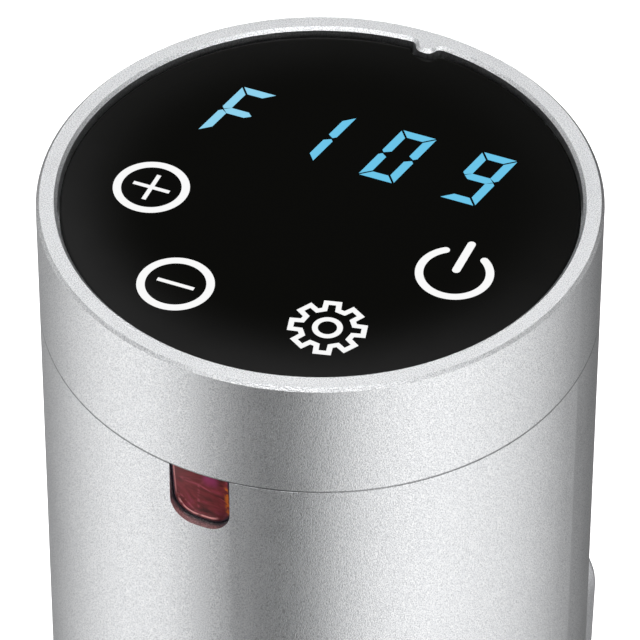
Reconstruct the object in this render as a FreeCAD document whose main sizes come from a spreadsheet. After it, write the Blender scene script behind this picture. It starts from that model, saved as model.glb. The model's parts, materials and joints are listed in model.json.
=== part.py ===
import FreeCAD, Part
import math
import os
import re
import Sketcher

V = FreeCAD.Vector
doc = FreeCAD.newDocument("circulator")

# Driving dimensions in millimetres. z = 0 is the base and +Z points up to the touch panel,
# -Y is the user's side and the clamp is on +Y.
dimensions = {
    # head
    "total_height": 330,
    "ring_height": 14.5,
    "ring_bore": 27.74,
    "ring_ledge": 25.4,
    "ring_break": 0.35,
    "spigot_depth": 6,
    "tab_depth": 1.25,
    "tab_width": 2.4,
    "glass_sink": 0.9,
    "glass_thick": 2,
    "glass_gap": 0.2,
    "gasket_thick": 0.3,
    "window_width": 6.9,
    "window_depth": 7.5,
    "window_corner": 2.7,
    "window_sink": 1,
    "window_thick": 2,
    "board_thick": 1.6,
    "display_width": 36,
    "display_depth": 12.4,
    "display_thick": 6.4,
    "display_shift": 1,
    "display_back": 9.8,
    "carrier_height": 7,
    "screw_circle": 22.4,
    # body tube and cord gland
    "body_radius": 30,
    "body_wall": 1.8,
    "body_base": 140,
    "seal_depth": 1,
    "seal_width": 1.4,
    "gland_level": 296,
    "gland_bore": 3.75,
    "gland_thread": 6,
    "gland_front": 20,
    "gland_seat": 27,
    "gland_hex": 32.5,
    "gland_neck": 37,
    "gland_back": 42,
    # bulkhead and wet side
    "collar_lip": 6,
    "collar_plug": 10,
    "skirt_radius": 28,
    "skirt_wall": 0.8,
    "skirt_base": 8,
    "slip_fit": 0.05,
    "grille_radius": 22.5,
    "grille_thick": 2.5,
    "slot_width": 5,
    "slot_height": 36,
    "slot_base": 24,
    "port_radius": 2.5,
    "port_level": 104,
    "shaft_radius": 2,
    "tube_radius": 4,
    "tube_base": 32,
    "run_fit": 0.04,
    "coil_radius": 18.5,
    "coil_rod": 3.25,
    "coil_pitch": 8.5,
    "coil_turns": 5,
    "coil_base": 38,
    "coil_top_bend": 9,
    "coil_in_bend": 6,
    "coil_up_bend": 4.5,
    "impeller_base": 14,
    "impeller_radius": 17,
    "blade_height": 10,
    # dry side
    "shelf_level": 164,
    "motor_base": 168,
    "motor_radius": 12,
    "motor_height": 36,
    "motor_shaft": 1.5,
    "chassis_base": 208,
    "chassis_top": 284,
    "board_plane": 4,
    # clamp
    "pin_level": 206,
    "pin_reach": 39.5,
    "pin_radius": 2,
    "spring_radius": 3.2,
    "spring_wire": 0.6,
    "spring_pitch": 1.45,
    "spring_lean": 25,
    "spring_still_arm": 9,
    "spring_moving_arm": 9.5,
    "lever_back": 49.6,
    "lever_top": 242.9,
    "lever_half": 14.4,
    "lever_corner": 8.7,
    "lever_sheet": 1.5,
    "lever_rim": 4.5,
    "lever_taper": 1.4,
    "jaw_base": 160,
    "jaw_knee": 173,
    "jaw_back": 38.6,
    "pad_gap": 1,
    "pad_thick": 1.4,
    "pad_half": 10.8,
    "bracket_half": 11.2,
    "bracket_reach": 33.5,
    "ear_thick": 2.5,
    "screw_spread": 11,
}

sheet = doc.addObject("Spreadsheet::Sheet", "size")
for row, (name, value) in enumerate(dimensions.items(), start=1):
    sheet.set(f"A{row}", name)
    sheet.set(f"B{row}", str(value))
    sheet.setAlias(f"B{row}", name)
doc.recompute()

# Levels and radii that several pieces share
seam = "(total_height - ring_height)"
glass_top = "(total_height - glass_sink)"
glass_base = "(total_height - glass_sink - glass_thick)"
ledge = "(total_height - glass_sink - glass_thick - gasket_thick)"
board_top = "(total_height - glass_sink - glass_thick - display_thick)"
board_under = "(total_height - glass_sink - glass_thick - display_thick - board_thick)"
tube_bore = "(body_radius - body_wall)"
bulkhead = "(body_base - collar_lip)"
skirt_bore = "(skirt_radius - skirt_wall)"
plug_radius = "(skirt_radius - skirt_wall - slip_fit)"

nodes = []  # every sub-part, in the order it is made


# ---- expressions and document objects
def bound(text):
    # an expression in which each dimension's name refers to its cell
    return re.sub(r"[a-z_]+", lambda m: "size." + m.group() if m.group() in dimensions else m.group(), str(text))


def val(text):
    return float(sheet.evalExpression(bound(text)))


def place(thing, spot):
    for axis, text in zip("xyz", spot):
        thing.setExpression("Placement.Base." + axis, bound(text))


def node(kind, label):
    thing = doc.addObject(kind, label)
    thing.Label = label
    nodes.append(thing)
    return thing


def new_body(label):
    return node("PartDesign::Body", label)


def origin_part(body, role):
    return next(f for f in body.Origin.OriginFeatures if f.Role == role)


def finish(body, feature):
    body.Tip = feature
    doc.recompute()
    return feature


# ---- sketches
def new_sketch(body, name, plane, offset):
    sketch = body.newObject("Sketcher::SketchObject", name)
    sketch.AttachmentSupport = (origin_part(body, plane), "")
    sketch.MapMode = "FlatFace"
    sketch.setExpression("AttachmentOffset.Base.z", bound(offset))
    return sketch


def hold(sketch, geometry, vertex, x, y):
    # holds a sketch point at two expressions, measured from the sketch's origin
    for kind, axis, text in (("DistanceX", -2, x), ("DistanceY", -1, y)):
        if abs(val(text)) < 1e-9:
            sketch.addConstraint(Sketcher.Constraint("PointOnObject", geometry, vertex, axis))
        else:
            index = sketch.addConstraint(Sketcher.Constraint(kind, -1, 1, geometry, vertex, val(text)))
            sketch.setExpression(f"Constraints[{index}]", bound(text))


def draw_outline(sketch, points):
    # a closed outline of straight edges through pairs of expressions
    first = len(sketch.Geometry)
    spots = [V(val(x), val(y), 0) for x, y in points]
    for i, spot in enumerate(spots):
        sketch.addGeometry(Part.LineSegment(spot, spots[(i + 1) % len(spots)]))
    for i in range(len(points)):
        following = first + (i + 1) % len(points)
        sketch.addConstraint(Sketcher.Constraint("Coincident", first + i, 2, following, 1))
    for i, (x, y) in enumerate(points):
        hold(sketch, first + i, 1, x, y)


def draw_circle(sketch, x, y, radius):
    index = sketch.addGeometry(Part.Circle(V(val(x), val(y), 0), V(0, 0, 1), val(radius)))
    hold(sketch, index, 3, x, y)
    size = sketch.addConstraint(Sketcher.Constraint("Radius", index, val(radius)))
    sketch.setExpression(f"Constraints[{size}]", bound(radius))


# ---- features
def turn(body, name, points, cut=False):
    # revolves an outline of (radius, height) pairs about the body's Z axis
    sketch = new_sketch(body, name + "_sketch", "XZ_Plane", "0")
    draw_outline(sketch, points)
    feature = body.newObject("PartDesign::Groove" if cut else "PartDesign::Revolution", name)
    feature.Profile = sketch
    feature.ReferenceAxis = (sketch, ["V_Axis"])
    feature.Angle = 360
    return finish(body, feature)


def pad(body, name, draw, length, plane="XY_Plane", offset="0", both_ways=False):
    # pads what draw() puts in a sketch parallel to one of the body's origin planes
    sketch = new_sketch(body, name + "_sketch", plane, offset)
    draw(sketch)
    feature = body.newObject("PartDesign::Pad", name)
    feature.Profile = sketch
    if both_ways:
        feature.SideType = "Symmetric"
    feature.setExpression("Length", bound(length))
    return finish(body, feature)


def pocket(body, name, draw, length, plane):
    # cuts what draw() puts in a sketch on an origin plane, along the sketch's normal
    sketch = new_sketch(body, name + "_sketch", plane, "0")
    draw(sketch)
    feature = body.newObject("PartDesign::Pocket", name)
    feature.Profile = sketch
    feature.Reversed = True
    feature.setExpression("Length", bound(length))
    return finish(body, feature)


def block(body, name, corner, size, cut=False):
    # a box from its lowest corner
    feature = body.newObject("PartDesign::SubtractiveBox" if cut else "PartDesign::AdditiveBox", name)
    for side, text in zip(("Length", "Width", "Height"), size):
        feature.setExpression(side, bound(text))
    place(feature, corner)
    return finish(body, feature)


turned_to = {"x": FreeCAD.Rotation(V(0, 1, 0), 90), "y": FreeCAD.Rotation(V(1, 0, 0), -90), "z": FreeCAD.Rotation()}


def rod(body, name, base, radius, length, axis="z", cut=False):
    # a cylinder from the middle of its first end, along +X, +Y or +Z
    feature = body.newObject("PartDesign::SubtractiveCylinder" if cut else "PartDesign::AdditiveCylinder", name)
    feature.Placement = FreeCAD.Placement(V(), turned_to[axis])
    feature.setExpression("Radius", bound(radius))
    feature.setExpression("Height", bound(length))
    place(feature, base)
    return finish(body, feature)


def hexagon(body, name, base, corner, length, axis="z", cut=False):
    # a six-sided prism, corner being its radius over the corners
    feature = body.newObject("PartDesign::SubtractivePrism" if cut else "PartDesign::AdditivePrism", name)
    feature.Placement = FreeCAD.Placement(V(), turned_to[axis])
    feature.Polygon = 6
    feature.setExpression("Circumradius", bound(corner))
    feature.setExpression("Height", bound(length))
    place(feature, base)
    return finish(body, feature)


def around(body, name, features, count):
    # repeats features evenly about the body's Z axis
    pattern = body.newObject("PartDesign::PolarPattern", name)
    pattern.Originals = features
    pattern.Axis = (origin_part(body, "Z_Axis"), [""])
    pattern.Angle = 360
    pattern.Occurrences = count
    return finish(body, pattern)


def mirror(body, name, features, plane="YZ_Plane"):
    pattern = body.newObject("PartDesign::Mirrored", name)
    pattern.Originals = features
    pattern.MirrorPlane = (origin_part(body, plane), [""])
    return finish(body, pattern)


def dress(body, kind, name, amount, wanted):
    # fillets or chamfers those edges of the tip for which wanted(edge, its centre) holds
    base = body.Tip
    picks = [f"Edge{i}" for i, edge in enumerate(base.Shape.Edges, start=1) if wanted(edge, edge.CenterOfMass)]
    if not picks:
        raise RuntimeError(f"{body.Label}: {name} finds no edge")
    feature = body.newObject("PartDesign::" + kind, name)
    feature.Base = (base, picks)
    feature.setExpression("Radius" if kind == "Fillet" else "Size", bound(amount))
    return finish(body, feature)


def round_at(edge, radius, level):
    # whether an edge is round about Z, with this radius and at this level
    curve = edge.Curve
    if not isinstance(curve, Part.Circle) or abs(curve.Axis.z) < 0.99:
        return False
    return abs(curve.Radius - val(radius)) < 1e-3 and abs(curve.Center.z - val(level)) < 1e-3


def runs_along(edge, direction):
    # whether an edge is straight and parallel to a direction
    if not isinstance(edge.Curve, Part.Line):
        return False
    return (edge.Vertexes[-1].Point - edge.Vertexes[0].Point).cross(direction).Length < 1e-6


def rectangle(left, low, right, high):
    return [(left, low), (right, low), (right, high), (left, high)]


def shaped(label, shape, placement=FreeCAD.Placement()):
    # a sub-part whose shape is worked out by a function
    thing = node("Part::Feature", label)
    thing.Shape = shape
    thing.Placement = placement


def bar(start, direction, length, radius):
    return Part.makeCylinder(radius, length, start, direction)


def elbow(start, direction, toward, bend, angle, radius):
    # a round bar that leaves start along direction and turns towards a square direction
    face = Part.Face(Part.Wire(Part.makeCircle(radius, start, direction)))
    return face.revolve(start + toward * bend, direction.cross(toward), angle)


def coil(radius, wire, pitch, turns):
    # a helical wire about +Z, from (radius, 0, 0)
    helix = Part.makeHelix(pitch, pitch * turns, radius)
    ring = Part.Wire(Part.makeCircle(wire, V(radius, 0, 0), V(0, 2 * math.pi * radius, pitch)))
    return Part.Wire(helix.Edges).makePipeShell([ring], True, True)


# ---- head: top ring, glass and what is under it
def make_bezel_ring():
    body = new_body("bezel_ring")
    spigot = "ring_bore - 1"
    foot = seam + " - spigot_depth"
    turn(body, "ring", [
        ("body_radius", seam), ("body_radius", "total_height"), ("ring_bore", "total_height"),
        ("ring_bore", ledge), ("ring_ledge", ledge), ("ring_ledge", ledge + " - 1.6"),
        (spigot, ledge + " - 3"), (spigot, foot), (tube_bore, foot), (tube_bore, seam)])
    half = "tab_width / 2"
    pad(body, "notch_tab",
        lambda s: draw_outline(s, rectangle("-" + half, "ring_bore - tab_depth", half, "ring_bore + 1")),
        "total_height - " + ledge, offset=ledge)
    dress(body, "Fillet", "tab_tip", "tab_width * 0.42",
          lambda e, c: runs_along(e, V(0, 0, 1)) and abs(c.y - val("ring_bore - tab_depth")) < 0.05)
    dress(body, "Fillet", "tab_roots", "0.7",
          lambda e, c: runs_along(e, V(0, 0, 1)) and c.y > 0 and abs(math.hypot(c.x, c.y) - val("ring_bore")) < 0.05)
    dress(body, "Chamfer", "rim_break", "ring_break",
          lambda e, c: round_at(e, "ring_bore", "total_height") or round_at(e, "body_radius", "total_height"))
    block(body, "window_relief", ("-7", "-body_radius", foot), ("14", "body_radius - 23", "spigot_depth"), cut=True)


def make_touch_panel():
    body = new_body("touch_panel")
    pad(body, "glass", lambda s: draw_circle(s, "0", "0", "ring_bore - glass_gap"), "glass_thick", offset=glass_base)
    inner = "ring_bore - tab_depth - glass_gap"
    half = "tab_width / 2 + 0.6"
    block(body, "tab_cut", ("-(" + half + ")", inner, glass_base), ("2 * (" + half + ")", "3", "glass_thick"), cut=True)
    dress(body, "Fillet", "tab_cut_corners", "1.1",
          lambda e, c: runs_along(e, V(0, 0, 1)) and abs(c.y - val(inner)) < 0.05)
    dress(body, "Chamfer", "ground_edge", "0.3", lambda e, c: round_at(e, "ring_bore - glass_gap", glass_top))


def make_panel_gasket():
    body = new_body("panel_gasket")

    def rings(sketch):
        draw_circle(sketch, "0", "0", "ring_bore - tab_depth - glass_gap - 0.1")
        draw_circle(sketch, "0", "0", "ring_ledge")
    pad(body, "gasket", rings, "gasket_thick", offset=ledge)


def make_led_display():
    # a four-digit module with a shallow well over each digit
    body = new_body("led_display")
    left = "display_shift - display_width / 2"
    front = "display_back - display_depth / 2"
    block(body, "module", (left, front, board_top), ("display_width", "display_depth", "display_thick - 0.4"))
    for i in range(4):
        block(body, f"digit_well_{i + 1}", (f"{left} + 0.8 + {i} * 8.8", front + " + 1", glass_base + " - 0.9"),
              ("8", "display_depth - 2", "1"), cut=True)


def make_display_board():
    body = new_body("display_board")
    pad(body, "board", lambda s: draw_circle(s, "0", "0", "ring_ledge - 0.6"), "board_thick", offset=board_under)
    hole = rod(body, "screw_hole", ("0", "screw_circle", board_under), "1.3", "board_thick", cut=True)
    around(body, "screw_holes", [hole], 3)


def make_touch_contacts():
    # a waisted pillar of conductive rubber under each touch icon, from the board up to the glass
    body = new_body("touch_contacts")
    for i, (x, y) in enumerate((("-17.3", "-4.8"), ("-8.6", "-17.7"), ("8.6", "-17.7"), ("17.3", "-4.8"))):
        rod(body, f"foot_{i + 1}", (x, y, board_top), "2.7", "1.2")
        rod(body, f"waist_{i + 1}", (x, y, board_top), "1.9", glass_base + " - (" + board_top + ")")
        rod(body, f"head_{i + 1}", (x, y, glass_base + " - 1.2"), "2.7", "1.2")


def make_controller_chip():
    body = new_body("controller_chip")
    block(body, "package", ("-6", "-6", board_under + " - 1.6"), ("12", "12", "1.4"))
    leads = []
    for i in range(6):
        leads.append(block(body, f"lead_{i + 1}", ("5.9", f"{i} * 1.8 - 4.8", board_under + " - 0.7"),
                           ("1.2", "0.6", "0.7")))
    mirror(body, "far_leads", leads)


def make_buzzer():
    body = new_body("buzzer")
    rod(body, "case", ("12", "9", board_under + " - 5"), "5", "5")
    rod(body, "sound_hole", ("12", "9", board_under + " - 5"), "0.8", "1", cut=True)


def make_display_carrier():
    # the plastic ring under the display board, with three screw posts
    body = new_body("display_carrier")
    foot = board_under + " - carrier_height"

    def rings(sketch):
        draw_circle(sketch, "0", "0", "ring_ledge - 0.2")
        draw_circle(sketch, "0", "0", "ring_ledge - 1.8")
    pad(body, "ring", rings, "carrier_height", offset=foot)
    post = rod(body, "post", ("0", "screw_circle", foot), "2.4", "carrier_height")
    around(body, "posts", [post], 3)
    hole = rod(body, "post_hole", ("0", "screw_circle", foot), "1.2", "carrier_height", cut=True)
    around(body, "post_holes", [hole], 3)
    block(body, "lamp_gap", ("-4", "-ring_ledge", foot), ("8", "4", "3.5"), cut=True)


def make_carrier_screws():
    body = new_body("carrier_screws")
    shank = rod(body, "shank", ("0", "screw_circle", board_under + " - 5"), "1.2", "board_thick + 5")
    head = rod(body, "head", ("0", "screw_circle", board_top), "2.2", "1.2")
    socket = hexagon(body, "socket", ("0", "screw_circle", board_top + " + 0.5"), "1", "0.7", cut=True)
    around(body, "screws", [shank, head, socket], 3)


def make_indicator_window():
    # the clear red lens, one step behind the body's surface and curved with it
    body = new_body("indicator_window")
    half = "window_width / 2 - 0.03"
    foot = seam + " - window_depth + 0.03"
    pad(body, "lens", lambda s: draw_outline(s, rectangle("-(" + half + ")", foot, half, seam)),
        "window_thick + 1", plane="XZ_Plane", offset="body_radius - window_sink - window_thick")
    dress(body, "Fillet", "lens_corners", "window_corner",
          lambda e, c: runs_along(e, V(0, 1, 0)) and c.z < val(seam) - 3)
    face = "body_radius - window_sink"
    turn(body, "lens_face", rectangle(face, foot + " - 2", "body_radius + 6", seam + " + 2"), cut=True)


def make_indicator_led():
    body = new_body("indicator_led")
    level = seam + " - window_depth / 2"
    rod(body, "barrel", ("0", "-26.2", level), "2.4", "3", axis="y")
    dress(body, "Fillet", "dome", "2", lambda e, c: abs(c.y + 26.2) < 1e-3)
    rod(body, "base", ("0", "-23.2", level), "2.8", "1", axis="y")


# ---- body tube and cord gland
def make_upper_housing():
    body = new_body("upper_housing")
    turn(body, "tube", rectangle(tube_bore, "body_base", "body_radius", seam))
    rod(body, "gland_hole", ("0", "20", "gland_level"), "gland_thread + 0.1", "12", axis="y", cut=True)
    for name, side in (("upper_screw_hole", "+"), ("lower_screw_hole", "-")):
        rod(body, name, ("0", "20", f"pin_level {side} screw_spread"), "1.6", "12", axis="y", cut=True)
    block(body, "window", ("-window_width / 2", "-body_radius - 1", seam + " - window_depth"),
          ("window_width", "body_wall + 3", "window_depth + 1"), cut=True)
    dress(body, "Fillet", "window_corners", "window_corner",
          lambda e, c: runs_along(e, V(0, 1, 0)) and abs(c.z - val(seam + " - window_depth")) < 1e-3)
    dress(body, "Chamfer", "seam_break", "0.12", lambda e, c: round_at(e, "body_radius", seam))


def make_cord_gland():
    # from the inside out: thread, flange saddled on the tube, hexagon and a round neck
    body = new_body("cord_gland")
    rod(body, "flange", ("0", "gland_seat", "gland_level"), "8.6", "gland_hex - gland_seat", axis="y")
    rod(body, "saddle", ("0", "0", "gland_level - 10"), "body_radius", "20", cut=True)
    dress(body, "Fillet", "flange_edge", "0.8", lambda e, c: abs(c.y - val("gland_hex")) < 1e-3)
    rod(body, "thread", ("0", "gland_front", "gland_level"), "gland_thread", "gland_hex - 0.5 - gland_front", axis="y")
    hexagon(body, "hex", ("0", "gland_hex", "gland_level"), "7.6", "gland_neck - gland_hex", axis="y")
    rod(body, "neck", ("0", "gland_neck", "gland_level"), "6.2", "gland_back - gland_neck", axis="y")
    dress(body, "Fillet", "neck_edge", "1.6",
          lambda e, c: abs(c.y - val("gland_back")) < 1e-3 and isinstance(e.Curve, Part.Circle))
    rod(body, "cord_bore", ("0", "gland_front", "gland_level"), "gland_bore", "gland_back - gland_front",
        axis="y", cut=True)


def make_gland_nut():
    body = new_body("gland_nut")
    hexagon(body, "nut", ("0", "22.5", "gland_level"), "8", "4", axis="y")
    rod(body, "nut_bore", ("0", "22.5", "gland_level"), "gland_thread", "4", axis="y", cut=True)


# ---- dry side: frame, electronics and motor
def make_main_chassis():
    # two slotted rails between two rings, open at the back where the clamp's screws come through
    body = new_body("main_chassis")
    outer = tube_bore + " - 0.3"
    turn(body, "lower_ring", rectangle("20", "chassis_base", outer, "chassis_base + 3"))
    turn(body, "upper_ring", rectangle("20", "chassis_top - 3", outer, "chassis_top"))
    rail = block(body, "rail", ("21.5", "board_plane - 2.5", "chassis_base + 3"),
                 ("5.4", "board_thick + 5", "chassis_top - chassis_base - 6"))
    mirror(body, "far_rail", [rail])
    slot = block(body, "board_slot", ("20", "board_plane", "chassis_base + 3"),
                 ("4.5", "board_thick", "chassis_top - chassis_base - 6"), cut=True)
    mirror(body, "far_board_slot", [slot])
    block(body, "back_gap", ("-13", "15", "chassis_base"), ("26", "14", "3"), cut=True)


def make_power_board():
    body = new_body("power_board")
    block(body, "board", ("-24.4", "board_plane", "chassis_base + 4"),
          ("48.8", "board_thick", "chassis_top - chassis_base - 8"))


def make_transformer():
    body = new_body("transformer")
    block(body, "core", ("-12", "board_plane - 17", "chassis_base + 8"), ("24", "15", "20"))
    block(body, "bobbin", ("-9", "board_plane - 20", "chassis_base + 11"), ("18", "20", "14"))
    dress(body, "Fillet", "winding_edges", "2",
          lambda e, c: runs_along(e, V(1, 0, 0)) and abs(c.y - val("board_plane - 20")) < 1e-3)


def make_capacitors():
    body = new_body("capacitors")
    for name, level in (("lower_can", "chassis_base + 40"), ("upper_can", "chassis_base + 56")):
        rod(body, name, ("-13", "board_plane - 18", level), "6", "18", axis="y")
    dress(body, "Fillet", "can_tops", "0.8", lambda e, c: abs(c.y - val("board_plane - 18")) < 1e-3)


def make_heat_sink():
    body = new_body("heat_sink")
    block(body, "back_plate", ("0", "board_plane - 24", "chassis_base + 32"), ("16", "24", "22"))
    for i in range(4):
        block(body, f"fin_gap_{i + 1}", (f"2 + {i} * 3.4", "board_plane - 24", "chassis_base + 32"),
              ("1.9", "20", "22"), cut=True)


def make_triac():
    body = new_body("triac")
    block(body, "package", ("16", "board_plane - 12", "chassis_base + 38"), ("4.4", "9", "10"))
    for i in range(3):
        block(body, f"leg_{i + 1}", ("17.8", "board_plane - 3", f"chassis_base + 40 + {i} * 2.5"), ("0.6", "3", "1"))


def make_relay():
    body = new_body("relay")
    block(body, "case", ("1", "board_plane - 15", "chassis_base + 56"), ("19", "15", "15"))
    dress(body, "Chamfer", "case_edges", "0.6", lambda e, c: abs(c.y - val("board_plane - 15")) < 1e-3)


def make_emc_choke():
    choke = node("Part::Torus", "emc_choke")
    choke.Placement = FreeCAD.Placement(V(), turned_to["y"])
    choke.setExpression("Radius1", bound("6"))
    choke.setExpression("Radius2", bound("2.8"))
    place(choke, ("10", "board_plane + board_thick + 2.8", "chassis_base + 30"))


def make_fuse():
    body = new_body("fuse")
    back = "board_plane + board_thick + 3"
    rod(body, "glass", ("-18", back, "chassis_base + 48"), "2.4", "20", axis="x")
    for name, start in (("left_cap", "-18"), ("right_cap", "-3")):
        rod(body, name, (start, back, "chassis_base + 48"), "2.8", "5", axis="x")


def make_terminal_block():
    body = new_body("terminal_block")
    block(body, "block", ("-15", "board_plane + board_thick", "chassis_base + 58"), ("30", "9", "10"))
    for i in range(4):
        rod(body, f"wire_entry_{i + 1}", (f"{i} * 7 - 10.5", "board_plane + board_thick + 4.5", "chassis_base + 61"),
            "2", "7", cut=True)


def make_motor_cradle():
    # a tube on the bulkhead with a shelf for the motor plate, open at the front and the back
    body = new_body("motor_cradle")
    outer = tube_bore + " - 0.3"
    inner = tube_bore + " - 2.3"
    foot = "body_base + collar_plug"
    turn(body, "tube", [(inner, foot), (outer, foot), (outer, "chassis_base"), (inner, "chassis_base"),
                        (inner, "shelf_level"), ("18", "shelf_level"), ("18", "shelf_level - 3"),
                        (inner, "shelf_level - 3")])
    block(body, "windows", ("-13", "-body_radius", "motor_base"),
          ("26", "2 * body_radius", "chassis_base - motor_base"), cut=True)


def make_motor_mount():
    body = new_body("motor_mount")
    rod(body, "plate", ("0", "0", "motor_base - 2"), "25.5", "2")
    rod(body, "shaft_hole", ("0", "0", "motor_base - 2"), "6", "2", cut=True)
    hole = rod(body, "screw_hole", ("0", "8.5", "motor_base - 2"), "1.25", "2", cut=True)
    around(body, "screw_holes", [hole], 2)


def make_motor_isolators():
    body = new_body("motor_isolators")
    pillow = rod(body, "pillow", ("0", "22", "shelf_level"), "3", "motor_base - 2 - shelf_level")
    around(body, "pillows", [pillow], 3)


def make_motor_can():
    body = new_body("motor_can")
    top = "motor_base + motor_height - 4"
    hole = "motor_shaft + run_fit"
    turn(body, "can", [(hole, "motor_base"), ("motor_radius", "motor_base"), ("motor_radius", top),
                       ("motor_radius - 1", top), ("motor_radius - 1", "motor_base + 1.2"),
                       (hole, "motor_base + 1.2")])
    screw = rod(body, "screw_hole", ("0", "8.5", "motor_base"), "1.25", "1.2", cut=True)
    around(body, "screw_holes", [screw], 2)


def make_motor_screws():
    body = new_body("motor_screws")
    shank = rod(body, "shank", ("0", "8.5", "motor_base - 2"), "1.25", "3")
    head = rod(body, "head", ("0", "8.5", "motor_base - 3.4"), "2.2", "1.4")
    around(body, "screws", [shank, head], 2)


def make_motor_magnets():
    body = new_body("motor_magnets")
    turn(body, "ring", rectangle("8.7", "motor_base + 4", "motor_radius - 1", "motor_base + 28"))
    block(body, "gap", ("-3", "-motor_radius", "motor_base"), ("6", "2 * motor_radius", "motor_height"), cut=True)


def make_motor_end_bell():
    body = new_body("motor_end_bell")
    foot = "motor_base + motor_height - 4"
    top = "motor_base + motor_height"
    hole = "motor_shaft + run_fit"
    turn(body, "bell", [("0", top), ("motor_radius", top), ("motor_radius", foot), (hole, foot),
                        (hole, top + " - 1"), ("0", top + " - 1")])


def make_motor_armature():
    # the wound core and its commutator, which turn inside the magnets
    body = new_body("motor_armature")
    turn(body, "core", [("motor_shaft", "motor_base + 6"), ("8.2", "motor_base + 6"), ("8.2", "motor_base + 26"),
                        ("3", "motor_base + 26"), ("3", "motor_base + 31"), ("motor_shaft", "motor_base + 31")])
    slot = block(body, "winding_slot", ("-0.8", "5", "motor_base + 6"), ("1.6", "4", "20"), cut=True)
    around(body, "winding_slots", [slot], 5)


def make_motor_shaft():
    body = new_body("motor_shaft")
    rod(body, "shaft", ("0", "0", "shelf_level - 7"), "motor_shaft", "motor_base + motor_height - 1.5 - shelf_level + 7")


def make_shaft_coupling():
    body = new_body("shaft_coupling")
    foot = "shelf_level - 15"
    middle = "shelf_level - 7.5"
    rod(body, "sleeve", ("0", "0", foot), "5", "15")
    rod(body, "drive_bore", ("0", "0", foot), "shaft_radius", "7.5", cut=True)
    rod(body, "motor_bore", ("0", "0", middle), "motor_shaft", "7.5", cut=True)
    dress(body, "Chamfer", "sleeve_ends", "0.5", lambda e, c: round_at(e, "5", foot) or round_at(e, "5", foot + " + 15"))


# ---- bulkhead
def leg_spots():
    # where the heater's two legs rise through the bulkhead
    slope = math.atan(val("coil_pitch") / (2 * math.pi * val("coil_radius")))
    radius = val("coil_radius")
    top_bend, in_bend, up_bend = val("coil_top_bend"), val("coil_in_bend"), val("coil_up_bend")
    outer = V(radius, top_bend * (1 - math.sin(slope)), 0)
    inner = V(radius - in_bend - up_bend, -in_bend * math.cos(slope), 0)
    return slope, top_bend, in_bend, up_bend, outer, inner


probe_spots = {"temperature_probe": [("-9.5", "4.5")], "level_sensors": [("-18", "10"), ("-20", "-4")]}


def make_collar():
    # the black ring between tube and skirt, closed by the bulkhead that carries the wet parts
    body = new_body("collar")
    spigot = tube_bore + " - slip_fit"
    top = "body_base + collar_plug"
    foot = bulkhead + " - collar_plug"
    turn(body, "ring", [
        ("0", bulkhead), (plug_radius + " - 2.2", bulkhead), (plug_radius + " - 2.2", foot), (plug_radius, foot),
        (plug_radius, bulkhead), ("body_radius - 0.8", bulkhead), ("body_radius", bulkhead + " + 0.8"),
        ("body_radius", "body_base - 0.3"), ("body_radius - 0.4", "body_base"), (spigot, "body_base"), (spigot, top),
        (spigot + " - 2", top), (spigot + " - 2", "body_base"), ("0", "body_base")])
    turn(body, "seal_groove", rectangle(tube_bore + " - seal_depth", "body_base + 4", "body_radius",
                                        "body_base + 4 + seal_width"), cut=True)
    rod(body, "shaft_tube_hole", ("0", "0", bulkhead), "tube_radius", "collar_lip", cut=True)
    outer, inner = leg_spots()[4:]
    for name, spot in (("outer_leg_hole", outer), ("inner_leg_hole", inner)):
        rod(body, name, (str(spot.x), str(spot.y), bulkhead), "coil_rod + 1.2", "collar_lip", cut=True)
    for i, (x, y) in enumerate(probe_spots["temperature_probe"]):
        rod(body, f"probe_hole_{i + 1}", (x, y, bulkhead), "2", "collar_lip", cut=True)
    for i, (x, y) in enumerate(probe_spots["level_sensors"]):
        rod(body, f"sensor_hole_{i + 1}", (x, y, bulkhead), "1.2", "collar_lip", cut=True)


def make_collar_seal():
    seal = node("Part::Torus", "collar_seal")
    seal.setExpression("Radius1", bound(tube_bore + " - seal_depth / 2"))
    seal.setExpression("Radius2", bound("seal_depth / 2"))
    place(seal, ("0", "0", "body_base + 4 + seal_width / 2"))


def make_heater_grommets():
    body = new_body("heater_grommets")
    outer, inner = leg_spots()[4:]
    for name, spot in (("outer", outer), ("inner", inner)):
        x, y = str(spot.x), str(spot.y)
        rod(body, name + "_grommet", (x, y, bulkhead), "coil_rod + 1.2", "collar_lip")
        rod(body, name + "_collar", (x, y, "body_base"), "coil_rod + 1.4", "1.2")
        rod(body, name + "_bore", (x, y, bulkhead), "coil_rod", "collar_lip + 1.2", cut=True)


def make_shaft_seal():
    body = new_body("shaft_seal")
    rod(body, "lip", ("0", "0", "body_base"), "5.2", "5")
    dress(body, "Fillet", "lip_edge", "1", lambda e, c: round_at(e, "5.2", "body_base + 5"))
    rod(body, "bore", ("0", "0", "body_base"), "shaft_radius + run_fit", "5", cut=True)


def make_thermal_cutout():
    body = new_body("thermal_cutout")
    rod(body, "case", ("-12", "-12", "body_base"), "6", "4.5")
    dress(body, "Fillet", "case_edge", "0.8", lambda e, c: abs(c.z - val("body_base + 4.5")) < 1e-3)
    for name, x in (("left_blade", "-15"), ("right_blade", "-9.8")):
        block(body, name, (x, "-13.5", "body_base + 4.5"), ("0.8", "3", "5"))


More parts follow.
